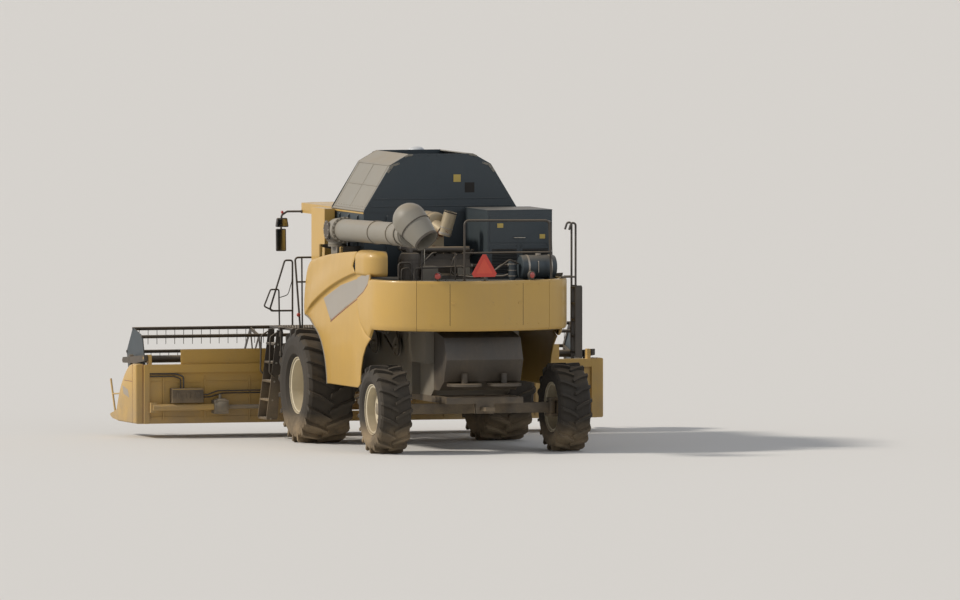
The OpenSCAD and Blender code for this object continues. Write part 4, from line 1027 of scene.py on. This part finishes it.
ENGINE = -2650
engine = Form(ON_DECK)
engine.plate("y", [(-3010, 0), (-2290, 0), (-2290, 60), (-2380, 90), (-2350, 190), (-2430, 310), (-2430, 400),
                   (-2870, 400), (-2870, 310), (-2950, 190), (-2920, 90), (-3010, 60)], -180, 790)
for y in CYLINDERS:
    engine.plate("y", [(ENGINE - 160, 400), (ENGINE + 160, 400), (ENGINE + 150, 470),
                       (ENGINE + 110, 495), (ENGINE - 110, 495), (ENGINE - 150, 470)], y - 65, y + 65)
    engine.pipe([(ENGINE - 250, y, 440), (ENGINE - 140, y, 440)], 25)
    engine.pipe([(ENGINE + 140, y, 440), (ENGINE + 290, y, 440)], 22)
engine.pipe([(ENGINE - 250, -160, 470), (ENGINE - 250, 930, 470), (ENGINE - 250, 930, 330)], 48, 90, 24)
engine.turned([(0, 0), (0, 175), (60, 175), (60, 165), (385, 165), (425, 150), (440, 120), (440, 0)],
              (-3220, 930, 0), UP, 48)
engine.pipe([(-3220, 930, 400), (-3220, 930, 500), (-2900, 930, 500)], 55, 70, 24)
for x, h, r in ((-2650, 175, 150), (-2430, 260, 80), (-2860, 270, 95), (-2640, 390, 70)):
    engine.turned([(0, 0), (0, 30), (30, 30), (30, r - 4), (33, r), (46, r - 6), (52, r), (66, r - 6), (72, r),
                   (74, r - 8), (74, r * 0.7), (62, r * 0.6), (62, 40), (90, 30), (90, 0)], (x, 790, h), LEFT)
engine.turned([(-50, 0), (-50, 60), (-40, 85), (40, 85), (60, 60), (60, 0)], (ENGINE + 290, 289, 560), LEFT)
engine.disc((ENGINE + 290, 289, 560), LEFT, 50, -120, 110)
engine.pipe([(ENGINE + 290, 289, 440), (ENGINE + 290, 289, 654)], 45)
engine.pipe([(ENGINE + 290, -120, 440), (ENGINE + 290, 720, 440)], 42)
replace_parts(make(engine, "engine_body", frame_black, 3), "engine")

# Oil drum that lies across the deck's rear, and its filter

oil = Form(ON_DECK)
oil.turned([(0, 0), (0, 160), (9, 181), (30, 190), (550, 190), (571, 181), (580, 160), (580, 0)],
           (-3600, -1375, 205), LEFT, 48)
for y in (-1290, -930):
    oil.plate("y", [(-3750, 0), (-3450, 0), (-3450, 190), (-3410, 210), (-3790, 210), (-3750, 190)], y, y + 40)
oil.turned([(0, 0), (0, 52), (40, 52), (40, 66), (305, 66), (305, 0)], (-3600, -670, 0), UP, 32)
make(oil, "oil_drum", dark, 2)

# Muffler, its outlet bend and the slanted tail pipe

muffler = Form()
muffler.turned([(0, 0), (0, 150), (15, 185), (50, 200), (610, 200), (645, 185), (660, 150), (660, 0)],
               (-2610, 289, 3594), AHEAD, 56)
muffler.pipe([(-2560, 300, 3590), (-2750, 234, 3495)], 100, sides=36)
muffler.turned([(0, 0), (0, 105), ((tail_high - tail_low).length, 105), ((tail_high - tail_low).length, 91), (30, 91),
                (30, 0)], tail_low, tail_high - tail_low, 40)
for x in (-2600, -2040):
    muffler.plate("x", [(170, DECK + 495), (430, DECK + 495), (430, 3520), (170, 3520)], x, x + 30)
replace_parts(make(muffler, "muffler", exhaust_coat, 1.5), "exhaust")

# Receiver on its mast in front of the tank

mast = Form()
mast.pipe([(125, -195, 3000), (125, -195, 4640)], 22, sides=20)
for h in (3050, 3600):
    mast.block((TANK_FRONT, -215, h), (125, -175, h + 40))
mast.coat = 1
mast.turned([(0, 0), (0, 122), (12, 132), (40, 132), (62, 126), (84, 108), (98, 84), (106, 50), (108, 0)],
            (125, -195, 4640), UP, 56)
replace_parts(make(mast, "receiver_dome", [frame_black, dome_white], 1), "receiver")

# Spout: a dome that narrows down to its round mouth

spout = Form()
dome = arc((0, 0), 275, range(180, 89, -6))
inner = arc((0, 0), 266, range(90, 181, 9))
spout.turned(dome + [(220, 248), (453, 204), (455, 209), (477, 209), (477, 191), (453, 191), (220, 239)] + inner,
             SPOUT_TOP, SPOUT_WAY, 72)
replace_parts(make(spout, "spout_dome", light_grey, body="unloader"), "unloader_spout")

# Corner panels with the bulged air intake over the left one

HOOD_LOW, HOOD_TOP = 1960, 2765
CORNER_X, CORNER_Y, CORNER_R = -3336.4, 650, 970
CORNER_TURN = math.degrees(math.atan2(CORNER_Y, HOOD_X - CORNER_X))


def hood_section(r, low):
    """Section of the hood's wall as (radius, height), with rolled edges."""
    t, top, deck = 20, HOOD_TOP, DECK
    return [(r - 60, low), (r - 22, low + 8), (r - 4, low + 40), (r, low + 90), (r, top - 40), (r - 3, top - 20),
            (r - 10, top - 8), (r - 30, top), (r - 100, top), (r - 100, deck + 0.3), (r - 34, deck + 0.3),
            (r - t, deck - 20), (r - t, low + 92), (r - t - 4, low + 50), (r - 38, low + 24), (r - 60, low + t)]


def lower_edge(x):
    """Height of a flank's lower edge, which rises towards the shield."""
    return float(np.interp(x, [-3336, -3200, -3176, -2984, -2749, -2612], [1960, 1828, 1823, 1879, 2009, 2254]))


def intake_ring(centre, out):
    """Section of the intake's wall, set out from a centre."""
    r, z0, z1, t = 320, 2800, 3205, 18
    low, high = (r - 70, z0 + 70), (r - 120, z1 - 120)
    loop = [(r - 250, z0)] + arc(low, 70, range(-90, 1, 15)) + arc(high, 120, range(0, 91, 11))
    loop += [(r - 270, z1), (r - 270, z1 - t)] + arc(high, 102, range(88, -1, -11))
    loop += arc(low, 52, range(0, -91, -15)) + [(r - 250, z0 + t)]
    return [(centre[0] + out[0] * a, centre[1] + out[1] * a, h) for a, h in loop]


for side, word in SIDES:
    panel = Form()
    rings = []
    section = hood_section(CORNER_R, HOOD_LOW)
    for a in np.linspace(180 - CORNER_TURN - 0.1, 90, 22):
        c, q = arc((0, 0), 1, [a])[0]
        rings.append([(CORNER_X + r * c, side * (CORNER_Y + r * q), h) for r, h in section])
    for x in (-3300, -3260, -3220, -3190, -3176, -3100, -3040, -2984, -2900, -2830, -2749, -2700, -2650, -2612):
        low = min(HOOD_LOW, lower_edge(x)) if x < -2960 else lower_edge(x)
        rings.append([(x, side * (CORNER_Y + r), h) for r, h in hood_section(CORNER_R, low)])
    panel.skin(rings)
    if side > 0:
        rings = [intake_ring((-3030, 1335), arc((0, 0), 1, [a])[0]) for a in np.linspace(180, 90, 20)]
        rings += [intake_ring((x, 1335), (0, 1)) for x in (-2900, -2750, -2609)]
        panel.skin(rings)
        panel.block((-3290, 1596, 2700), (-2609, 1618, 2840))
        panel.block((-3000, 1500, 2760), (-2800, 1560, 2830))
    panel = make(panel, word + "_corner_panel", yellow)
    if side > 0:
        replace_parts(panel, "corner_panels")

# Rails round the engine deck, and the rear ladder

rails = Form(ON_DECK)
for x, y in ((-3880, 214), (-3880, -1240), (-3360, -1420)):
    rails.disc((x, y, 0), UP, 32, 0, 8, 24)
rails.pipe([(-3880, 214, 4), (-3880, 214, 971), (-3880, -1200, 956), (-3880, -1240, 4)], 17, 70, 16)
rails.pipe([(-3880, 214, 450), (-3880, -1220, 450)], 15)
rails.pipe([(-3880, -1100, 956), (-3400, -1370, 920), (-3360, -1420, 4)], 15, 70)
rails.pipe([(-3880, -1216, 450), (-3385, -1392, 450)], 15)
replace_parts(make(rails, "deck_rail_tubes", frame_black), "deck_rails")


def seat_y(x):
    """Where the rear ladder's feet stand on the corner panel's top edge."""
    return -CORNER_Y - math.sqrt((CORNER_R - 50) ** 2 - (x - CORNER_X) ** 2)


RUNGS = range(1560, 2601, 260)
ladder = Form()
for x in (-3860, -3640):
    ladder.pipe([(x, -1540, 3540), (x, -1580, 3660), (x, -1650, 3640), (x, -1650, 1560)], 17, 40, 16)
    ladder.pipe([(x, seat_y(x), HOOD_TOP + 23), (x, -1650, HOOD_TOP + 23)], 15)
    ladder.disc((x, seat_y(x), HOOD_TOP), UP, 28, 0, 14, 20)
for h in RUNGS:
    ladder.plate("x", [(-1750, h), (-1640, h), (-1640, h + 25), (-1646, h + 31), (-1744, h + 31), (-1750, h + 25)],
                 -3875, -3635)
for x in (-3890, -3635):
    ladder.plate("x", [(-1750, 1500), (-1640, 1500), (-1636, 1540), (-1636, 2620), (-1650, 2650), (-1740, 2650),
                       (-1754, 2620), (-1754, 1540)], x, x + 15)
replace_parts(make(ladder, "rear_ladder_tubes", frame_black, 1.5), "rear_ladder")
rows = [((x, -1745 + d, h + 31), UP) for h in RUNGS for x in range(-3850, -3640, 26) for d in (18, 46, 74)]
scatter(KNOBS, "rear_rung_grip", rows, frame_black, Radius=0.006, Height=0.005)

# Platform with its rails, a step below the cab's floor, and the front ladder

LANDING, UNDER = 1810, 1775  # top and underside of the platform
landing = Form()
landing.block((450, 965, UNDER), (1900, 1080, LANDING))
landing.block((450, 1680, UNDER), (1900, 1750, LANDING))
for i in range(10):
    x0, x1 = (450 if i == 0 else 480 + i * 150), (530 + i * 150 if i < 9 else 1900)
    landing.block((x0, 1080, UNDER), (x1, 1680, LANDING))
landing.block((450, 1080, UNDER), (1900, 1680, LANDING - 24))
for x in (640, 1400):
    landing.plate("x", [(600, 1860), (600, 1960), (820, 1960), (860, 1775), (1300, 1775), (1300, 1730), (820, 1685),
                           (760, 1860)], x, x + 80)
landing.pipe([(470, 1655, LANDING), (470, 1745, 2965), (470, 1040, 2965), (470, 1040, LANDING)], 16, 50, 16)
landing.pipe([(470, 1040, 2570), (470, 1712, 2570)], 14)
landing.pipe([(470, 1620, LANDING), (470, 1630, 2965)], 13)
landing.pipe([(1870, 1370, LANDING), (1870, 1370, 2860), (1870, 1500, 2860), (1870, 1760, 2045),
                 (1870, 1379, 2045)], 15, 40, 16)
landing.pipe([(1870, 1590, LANDING), (1870, 1600, 2390), (1870, 1740, 2390), (1870, 1850, 2120),
                 (1870, 1690, 2045)], 13, 30)
landing.disc((1070, 1800, 1300), UP, 20, 0, LANDING - 1300, 24)
landing.block((1030, 1690, UNDER), (1110, 1840, LANDING))
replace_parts(make(landing, "platform_and_rails", frame_black, 1.5), "platform")
rows = [((500 + i * 150 + a, 1105 + j * 44, LANDING), UP) for i in range(9) for j in range(13) for a in (-6, 16)]
scatter(KNOBS, "platform_grip", rows, worn_steel, slot="dark_paint", Radius=0.007, Height=0.004)

strap = Form()
strap.pipe([(1855, 1375, 2790), (1855, 1385, 2520), (1855, 1450, 2300), (1855, 1590, 2260)], 7, 90, 8)
make(strap, "rail_strap", hose_rubber)

STEPS = [(2030 - i * 32, 350 + i * 300) for i in range(5)]  # front edge and top of each
steps = Form()
for x in (1100, 1580):
    steps.plate("x", [(1760, 1768), (1860, 1768), (2040, 340), (1850, 340), (1760, 1500)], x, x + 20)
for y, h in STEPS:
    steps.plate("x", [(y - 170, h - 30), (y, h - 30), (y, h), (y - 170, h)], 1118, 1582)
for h in (1350, 1660):
    steps.band((1070, 1800, h), UP, 21, 34, 0, 80, 28)
    steps.block((1098, 1780, h), (1112, 1820, h + 80))
for x in (1095, 1605):
    steps.pipe([(x, 1900, 1000), (x, 1990, 1090), (x, 1975, 1660), (x, 1850, 1735)], 13, 50)
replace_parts(make(steps, "front_ladder_steps", frame_black, 1.5, body="front_ladder"), "front_ladder")
rows = [((1150 + a * 33, y - d, h), UP) for y, h in STEPS for a in range(13) for d in (20, 55, 90, 125)]
scatter(KNOBS, "front_step_grip", rows, worn_steel, body="front_ladder", slot="dark_paint", Radius=0.006, Height=0.004)
rows = [((x, y - 62, h - 16), (f, 0, 0)) for y, h in STEPS for x, f in ((1100, -1), (1600, 1))]
bolts("front_step_bolts", rows, zinc, 0.011, "front_ladder")

# Mirrors

holders = Form(mirrored=True)
holders.plate("x", [(1152, 3612), (1164, 3612), (1164, 3664), (1152, 3664)], 2030, 2092)
holders.pipe([(2062, 1158, 3642), (2140, 1380, 3640), (2140, 1475, 3580), (2140, 1475, 3400)], 17, 50, 16)
holders.pipe([(2145, 1480, 3340), (2145, 1480, 3410)], 15)
holders.plate("x", [(1362, 3402), (1384, 3525), (1396, 3535), (1536, 3535), (1548, 3525), (1566, 3402), (1552, 3388),
                    (1376, 3388)], 2112, 2185)
holders.plate("x", [(1398, 3010), (1402, 3350), (1412, 3360), (1556, 3360), (1566, 3350), (1562, 3010), (1550, 2998),
                    (1410, 2998)], 2125, 2170)
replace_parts(make(holders, "mirror_cases", plastic, 5), "mirrors")
faces = Form(mirrored=True)
faces.plate("x", [(1378, 3406), (1396, 3519), (1536, 3519), (1552, 3406)], 2109, 2114)
faces.plate("x", [(1412, 3012), (1416, 3346), (1552, 3346), (1550, 3012)], 2122, 2127)
make(faces, "mirror_faces", mirror_face, 0.8)

# Header ends with their long front arc, and the divider rods that part the crop


def end_outline(inset):
    points = [(2050 + inset, 235 + inset), (3140 - inset, 235 + inset)]
    points += arc((1875, -130), 1425 - inset, np.linspace(19, 66, 16))
    return points + [(2300, 1200 - inset), (2050 + inset, 1200 - inset)]


ends = Form()
for s in (1, -1):
    rod = s * 3900
    ends.skin([[(a, s * y, b) for a, b in end_outline(inset)]
               for y, inset in ((3830, 0), (3925, 0), (3944, 6), (3956, 18), (3960, 34))])
    ends.block((2000, s * 3740, 235), (2080, s * 3830, 1190))
    ends.block((2080, s * 3740, 235), (3050, s * 3830, 265))
    ends.block((2080, s * 3740, 265), (3050, s * 3752, 1000))
    ends.plate("y", [(3100, 243), (3440, 265), (3560, 297), (3590, 325), (3560, 347), (3400, 375), (3150, 440)],
               rod - 45, rod + 45)
    ends.pipe([(3430, rod, 340), (3700, rod, 895)], 16)
    ends.pipe([(3585, rod, 655), (2980, rod, 690)], 13)
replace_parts(make(ends, "header_end_covers", yellow, 3, body="feeder"), "header_ends")

seam, marks = Form(mirrored=True), Form(mirrored=True)
seam.pipe([(2044, 3838, 1204), (2044, 3838, 240)], 5, sides=8)
seam.plate("y", [(2236, 240), (2244, 240), (2244, 1196), (2236, 1196)], 3958, 3962)
seam.plate("y", [(2244, 912), (2700, 912), (2700, 920), (2244, 920)], 3958, 3962)
marks.plate("y", [(2420, 640), (2760, 700), (2820, 830), (2500, 770)], 3959, 3961.5)
make(seam, "header_end_seams", stripe_red, body="feeder")
make(marks, "header_end_marks", mark_grey, body="feeder")

# Drive on the header's back: gear box, shaft, valve box and hoses

BACK = 2050
drive = Form((BACK, 0, 0))
drive.turned([(0, 0), (0, 40), (10, 34), (596, 34), (600, 0)], (-120, 1865, 500), LEFT, 24)
drive.turned([(0, 0), (0, 105), (24, 122), (60, 128), (170, 128), (200, 112), (230, 112), (230, 0)],
             (-110, 2450, 510), LEFT, 40)
drive.block((-208, 2452, 392), (-6, 2688, 608))
drive.pipe([(-120, 2575, 600), (-120, 2575, 700)], 25)
make(drive, "header_gear_box", machine_grey, 5, body="feeder")
valves = Form((BACK, 0, 0))
valves.plate("y", [(-4, 572), (-4, 808), (-130, 808), (-160, 780), (-160, 590), (-150, 572)], 2862, 3388)
for y in (2960, 3120, 3280):
    valves.block((-176, y - 30, 640), (-158, y + 30, 740))
make(valves, "header_valve_box", frame_black, 4, body="feeder")
lines = Form((BACK, 0, 0))
lines.pipe([(-90, 3180, 800), (-90, 3180, 1000), (-40, 3300, 1040), (-30, 3700, 1045), (-30, 3790, 1045)], 13, 60)
lines.pipe([(-60, 3220, 800), (-60, 3220, 960), (-30, 3330, 1000), (-25, 3700, 1000), (-25, 3790, 1000)], 11, 50)
lines.pipe([(-90, 2900, 700), (-90, 2780, 700), (-80, 2600, 760), (-70, 1500, 760), (-70, 760, 760)], 12, 60)
lines.pipe([(-70, 2900, 660), (-70, 2740, 660), (-50, 2500, 720), (-50, 1500, 720), (-50, 760, 720)], 12, 60)
make(lines, "header_hoses", hose_rubber, body="feeder")

stays = Form((BACK, 0, 0), mirrored=True)
for y in (1250, 2050, 2800, 3500):
    stays.plate("y", [(-4, 280), (-26, 320), (-26, 940), (-4, 1000)], y - 10, y + 10)
for h in (330, 900):
    stays.block((-12, 760, h), (2, 3700, h + 16))
make(stays, "header_back_ribs", yellow, 2, body="feeder")
rows = [(p, (-1, 0, 0)) for s in (1, -1) for p in between((BACK - 10, s * 800, 1120), (BACK - 10, s * 3650, 1120), 16)]
bolts("header_beam_bolts", rows, zinc, 0.01, "feeder")

# Header auger: pipe with flights wound to the middle and fingers between them

auger = Form((2335, 0, 525))
auger.disc((0, 0, 0), LEFT, 125, -3700, 3700, 48)
auger.disc((0, 0, 0), LEFT, 39, -3735, 3735, 28)
for s in (1, -1):
    rings = []
    for i in range(0, 6 * 28 + 1):
        y = s * (3670 - i / 28 * 470)
        a = s * 2 * math.pi * i / 28
        c, q = math.cos(a), math.sin(a)
        rings.append([(r * c, y + d, r * q) for r, d in ((118, -4), (249, -4), (249, 4), (118, 4))])
    auger.skin(rings)
for i in range(-4, 5):
    a = math.radians(i * 70)
    auger.pipe([(0, i * 150, 0), (249 * math.sin(a), i * 150, 249 * math.cos(a))], 8, sides=10)
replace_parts(make(auger, "auger_flights", worn_steel, 0.8, body="header_auger"), "header_auger")

# Pulleys on the body's sides, with their hubs

wheels = Form()
for s, pulleys in PULLEYS.items():
    for x, h, r in pulleys:
        wheels.turned([(-2, 0), (-2, 34), (50, 34), (50, r - 34), (38, r - 26), (38, r), (62, r - 22), (88, r),
                       (88, r - 26), (78, r - 34), (78, 34), (110, 34), (110, 0)], (x, s * 780, h), (0, s, 0), 48)
make(wheels, "side_pulleys", machine_grey, 1)

# Wheel nuts and hub caps

# Each axle: place of its wheels, then how far out the rim's face and the hub's end stand
for axle, x, y, h, face, hub in (("front", 0, 1520, 925, -23, 90), ("rear", -3750, 1500, 705, 27, 110)):
    for side, word in SIDES:
        body = axle + "_" + word + "_wheel"
        middle, out = Vector((x, side * y, h)), Vector((0, side, 0))
        cap, ring = Form(), Form()
        cap.turned([(hub - 4, 0), (hub - 4, 92), (hub + 4, 92), (hub + 20, 84), (hub + 34, 60), (hub + 38, 0)],
                   middle, out, 40)
        make(cap, body + "_hub_cap", machine_grey, 1.5, body=body)
        ring.turned([(face + 20, 190), (face + 20, 240), (face + 44, 240), (face + 46, 236), (face + 46, 194),
                     (face + 44, 190)], middle, out, 56, joined=True)
        make(ring, body + "_nut_ring", cream, 1, body=body)
        bolts(body + "_nuts", ring_spots(middle + out * (face + 46), LEFT, 215, 10, out, 0.3), worn_steel, 0.018, body)
        bolts(body + "_cap_bolts", ring_spots(middle + out * (hub + 2), LEFT, 74, 8, out), zinc, 0.008, body)

# Closed plates at the reel's ends, with a rounded corner at each bat

outline = []
for turn in range(12, 360, 60):
    corner = arc((2920, 1240), 504, [turn])[0]
    outline += arc(corner, 36, [turn + d for d in (-60, -20, 20, 60)])
plates = Form(mirrored=True)
plates.plate("y", outline, 3700, 3706)
make(plates, "reel_end_plates", dark, 1, body="reel")

# Cab: seat, console, levers and wheel seen through the glass

CAB_FLOOR, FRONT_X, FRONT_R = 2020, 2100, 1968
HELM, HELM_WAY = Vector((1480, 0, 2760)), Vector((-0.208, 0, 0.978))  # hub and axis of the steering wheel
inner = Form()
inner.turned([(0, 0), (0, 150), (20, 160), (40, 110), (150, 92), (240, 120), (262, 150), (268, 0)], (910, 0, CAB_FLOOR),
             UP, 40)
inner.block((680, -230, CAB_FLOOR + 262), (1150, 230, CAB_FLOOR + 296))
for s in (1, -1):
    inner.plate("y", [(700, 2500), (1130, 2560), (1160, 2590), (1150, 2620), (1110, 2620), (700, 2570)], s * 282,
                s * 342)
    inner.pipe([(700, s * 270, 2300), (660, s * 300, 2420), (700, s * 300, 2530)], 14, 40)
inner.plate("y", [(760, CAB_FLOOR), (1240, CAB_FLOOR), (1260, 2300), (1240, 2560), (1180, 2620), (800, 2620),
                  (760, 2580)], -560, -380)
inner.pipe([(1600, 0, CAB_FLOOR), (1480, 0, 2750)], 42, sides=24)
inner.turned([(-12, 0), (-12, 60), (14, 60), (24, 44), (26, 0)], HELM, HELM_WAY, 32)
inner.sweep([p for p, _ in ring_spots(HELM, HELM_WAY, 190, 40)], circle(12, 15), joined=True)
for p, _ in ring_spots(HELM, HELM_WAY, 186, 3, start=0.5):
    inner.pipe([HELM, p], 9, sides=10)
inner.pipe([(1120, -450, 2600), (1160, -450, 2740)], 13)
inner.turned([(0, 0), (0, 30), (40, 38), (80, 34), (104, 20), (110, 0)], (1158, -450, 2730), (0.2, 0, 1), 24)
inner.pipe([(1900, -560, CAB_FLOOR), (1900, -560, 2700)], 18)
inner.plate("x", [(-700, 2680), (-440, 2680), (-430, 2900), (-710, 2900)], 1870, 1905)
inner.block((1700, -230, CAB_FLOOR), (1790, -90, CAB_FLOOR + 20))
inner.block((1700, 90, CAB_FLOOR), (1790, 230, CAB_FLOOR + 20))
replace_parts(make(inner, "cab_fittings", plastic, 4), "cab_interior")


def cushion(name, outline, half):
    """A stuffed pad: a soft outline that swells at its middle."""
    pad = Form()
    middle = [sum(p[i] for p in outline) / len(outline) for i in (0, 1)]
    rings = []
    for t in np.linspace(0, 1, 9):
        swell = math.sin(math.pi * t) ** 0.5 if 0 < t < 1 else 0.0
        keep = 0.9 + 0.1 * swell
        rings.append([(middle[0] + (a - middle[0]) * keep, half * (2 * t - 1), middle[1] + (b - middle[1]) * keep)
                      for a, b in outline])
    pad.skin(rings)
    piece = make(pad, name, cloth, 10, angle=60)
    soft = piece.modifiers.new("soft_form", "SUBSURF")
    soft.levels = soft.render_levels = 2


cushion("seat_cushion", [(650, 2300), (1130, 2300), (1178, 2340), (1186, 2390), (1150, 2424), (650, 2412),
                         (636, 2360)], 262)
cushion("back_cushion", [(560, 2440), (690, 2436), (702, 2520), (668, 2860), (646, 3084), (600, 3106), (524, 3090),
                         (530, 2860)], 246)

# Cab outside: lamps and wipers


def windscreen(y):
    """Where the windscreen's outer face lies at a side place."""
    return FRONT_X - FRONT_R + math.sqrt(FRONT_R ** 2 - y ** 2)


lamps, lens = Form(mirrored=True), Form(mirrored=True)
for y in (350, 700):
    lamps.turned([(-6, 0), (-6, 62), (36, 64), (40, 58), (34, 52), (30, 0)], (2345, y, 3700), AHEAD, 36)
    lens.turned([(30, 0), (30, 51), (36, 44), (39, 20), (40, 0)], (2345, y, 3700), AHEAD, 36)
make(lamps, "work_lamp_cases", plastic, 1)
make(lens, "work_lamp_lenses", lamp_clear)
amber = Form(mirrored=True)
amber.turned([(0, 0), (0, 20), (30, 22), (44, 14), (48, 0)], (2140, 1462, 3608), UP, 24)
make(amber, "mirror_marker_lenses", lamp_red)

trim = Form(mirrored=True)
base = Vector((windscreen(420) + 12, 420, 2130))
trim.turned([(-20, 0), (-20, 26), (10, 26), (14, 0)], base, AHEAD, 24)
trim.pipe([base, (windscreen(300) + 14, 300, 2760)], 7, sides=10)
trim.plate("y", [(windscreen(300) + 3, 2420), (windscreen(300) + 16, 2420), (windscreen(300) + 16, 3120),
                 (windscreen(300) + 3, 3120)], 300 - 8, 300 + 8)
make(trim, "wipers", plastic, 0.5)

# Floor, light and camera


def sun(name, direction, strength, colour, angle):
    lamp = bpy.data.lights.new(name, "SUN")
    lamp.energy, lamp.color, lamp.angle = strength, colour, math.radians(angle)
    add(name, lamp).rotation_euler = Vector(direction).to_track_quat("-Z", "Y").to_euler()


def studio():
    world = bpy.data.worlds.new("studio")
    bpy.context.scene.world = world
    world.use_nodes = True
    w = Wiring(world.node_tree)
    rays = w.node("ShaderNodeLightPath").outputs
    seen = w.maths("MAXIMUM", rays["Is Camera Ray"], rays["Is Glossy Ray"])
    seen = w.maths("MAXIMUM", seen, rays["Is Transmission Ray"])
    lit = w.node("ShaderNodeMix", {0: seen, 2: 0.35, 3: 0.95}, data_type="FLOAT").outputs[0]
    w.wire(world.node_tree.nodes["Background"], {"Color": (0.93, 0.95, 1.0, 1), "Strength": lit})
    sun("key", (-0.12, -0.8, -0.6), 2.75, (1.0, 0.93, 0.83), 7)
    sun("fill", (0.75, 0.35, -0.5), 0.22, (0.9, 0.95, 1.0), 25)
    half = 400
    floor = bpy.data.meshes.new("floor")
    floor.from_pydata([(-half, -half, 0), (half, -half, 0), (half, half, 0), (-half, half, 0)], [], [(0, 1, 2, 3)])
    m, w, shader = new_material("pale_floor")
    w.wire(shader, {"Base Color": (0.72, 0.71, 0.69, 1), "Roughness": 0.95})
    floor.materials.append(m)
    o = add("floor", floor)
    o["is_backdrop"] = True


AZIMUTH, ELEVATION, AWAY = math.radians(253), math.radians(2.5), 400.0
PIXELS, SCALE = 960, 62  # the picture's width, and pixels to a metre
SENSOR = 36


def photo_camera():
    """A long lens far behind and to the left, as in the photograph."""
    back = Vector((math.sin(AZIMUTH) * math.cos(ELEVATION), -math.cos(AZIMUTH) * math.cos(ELEVATION),
                   math.sin(ELEVATION)))
    turn = (-back).to_track_quat("-Z", "Y")
    right, up = turn @ AHEAD, turn @ LEFT
    aim = place((0, 0, 0)) + right * (73 / SCALE) + up * (141 / SCALE)
    lens = bpy.data.cameras.new("camera")
    lens.sensor_width, lens.lens = SENSOR, SENSOR * AWAY / (PIXELS / SCALE)
    lens.clip_start, lens.clip_end = 1, 1200
    o = add("camera", lens)
    o.location = aim + back * AWAY
    o.rotation_mode = "QUATERNION"
    o.rotation_quaternion = turn
    bpy.context.scene.camera = o


studio()
photo_camera()
view = bpy.context.scene.view_settings
view.view_transform = "Standard"

low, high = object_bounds()
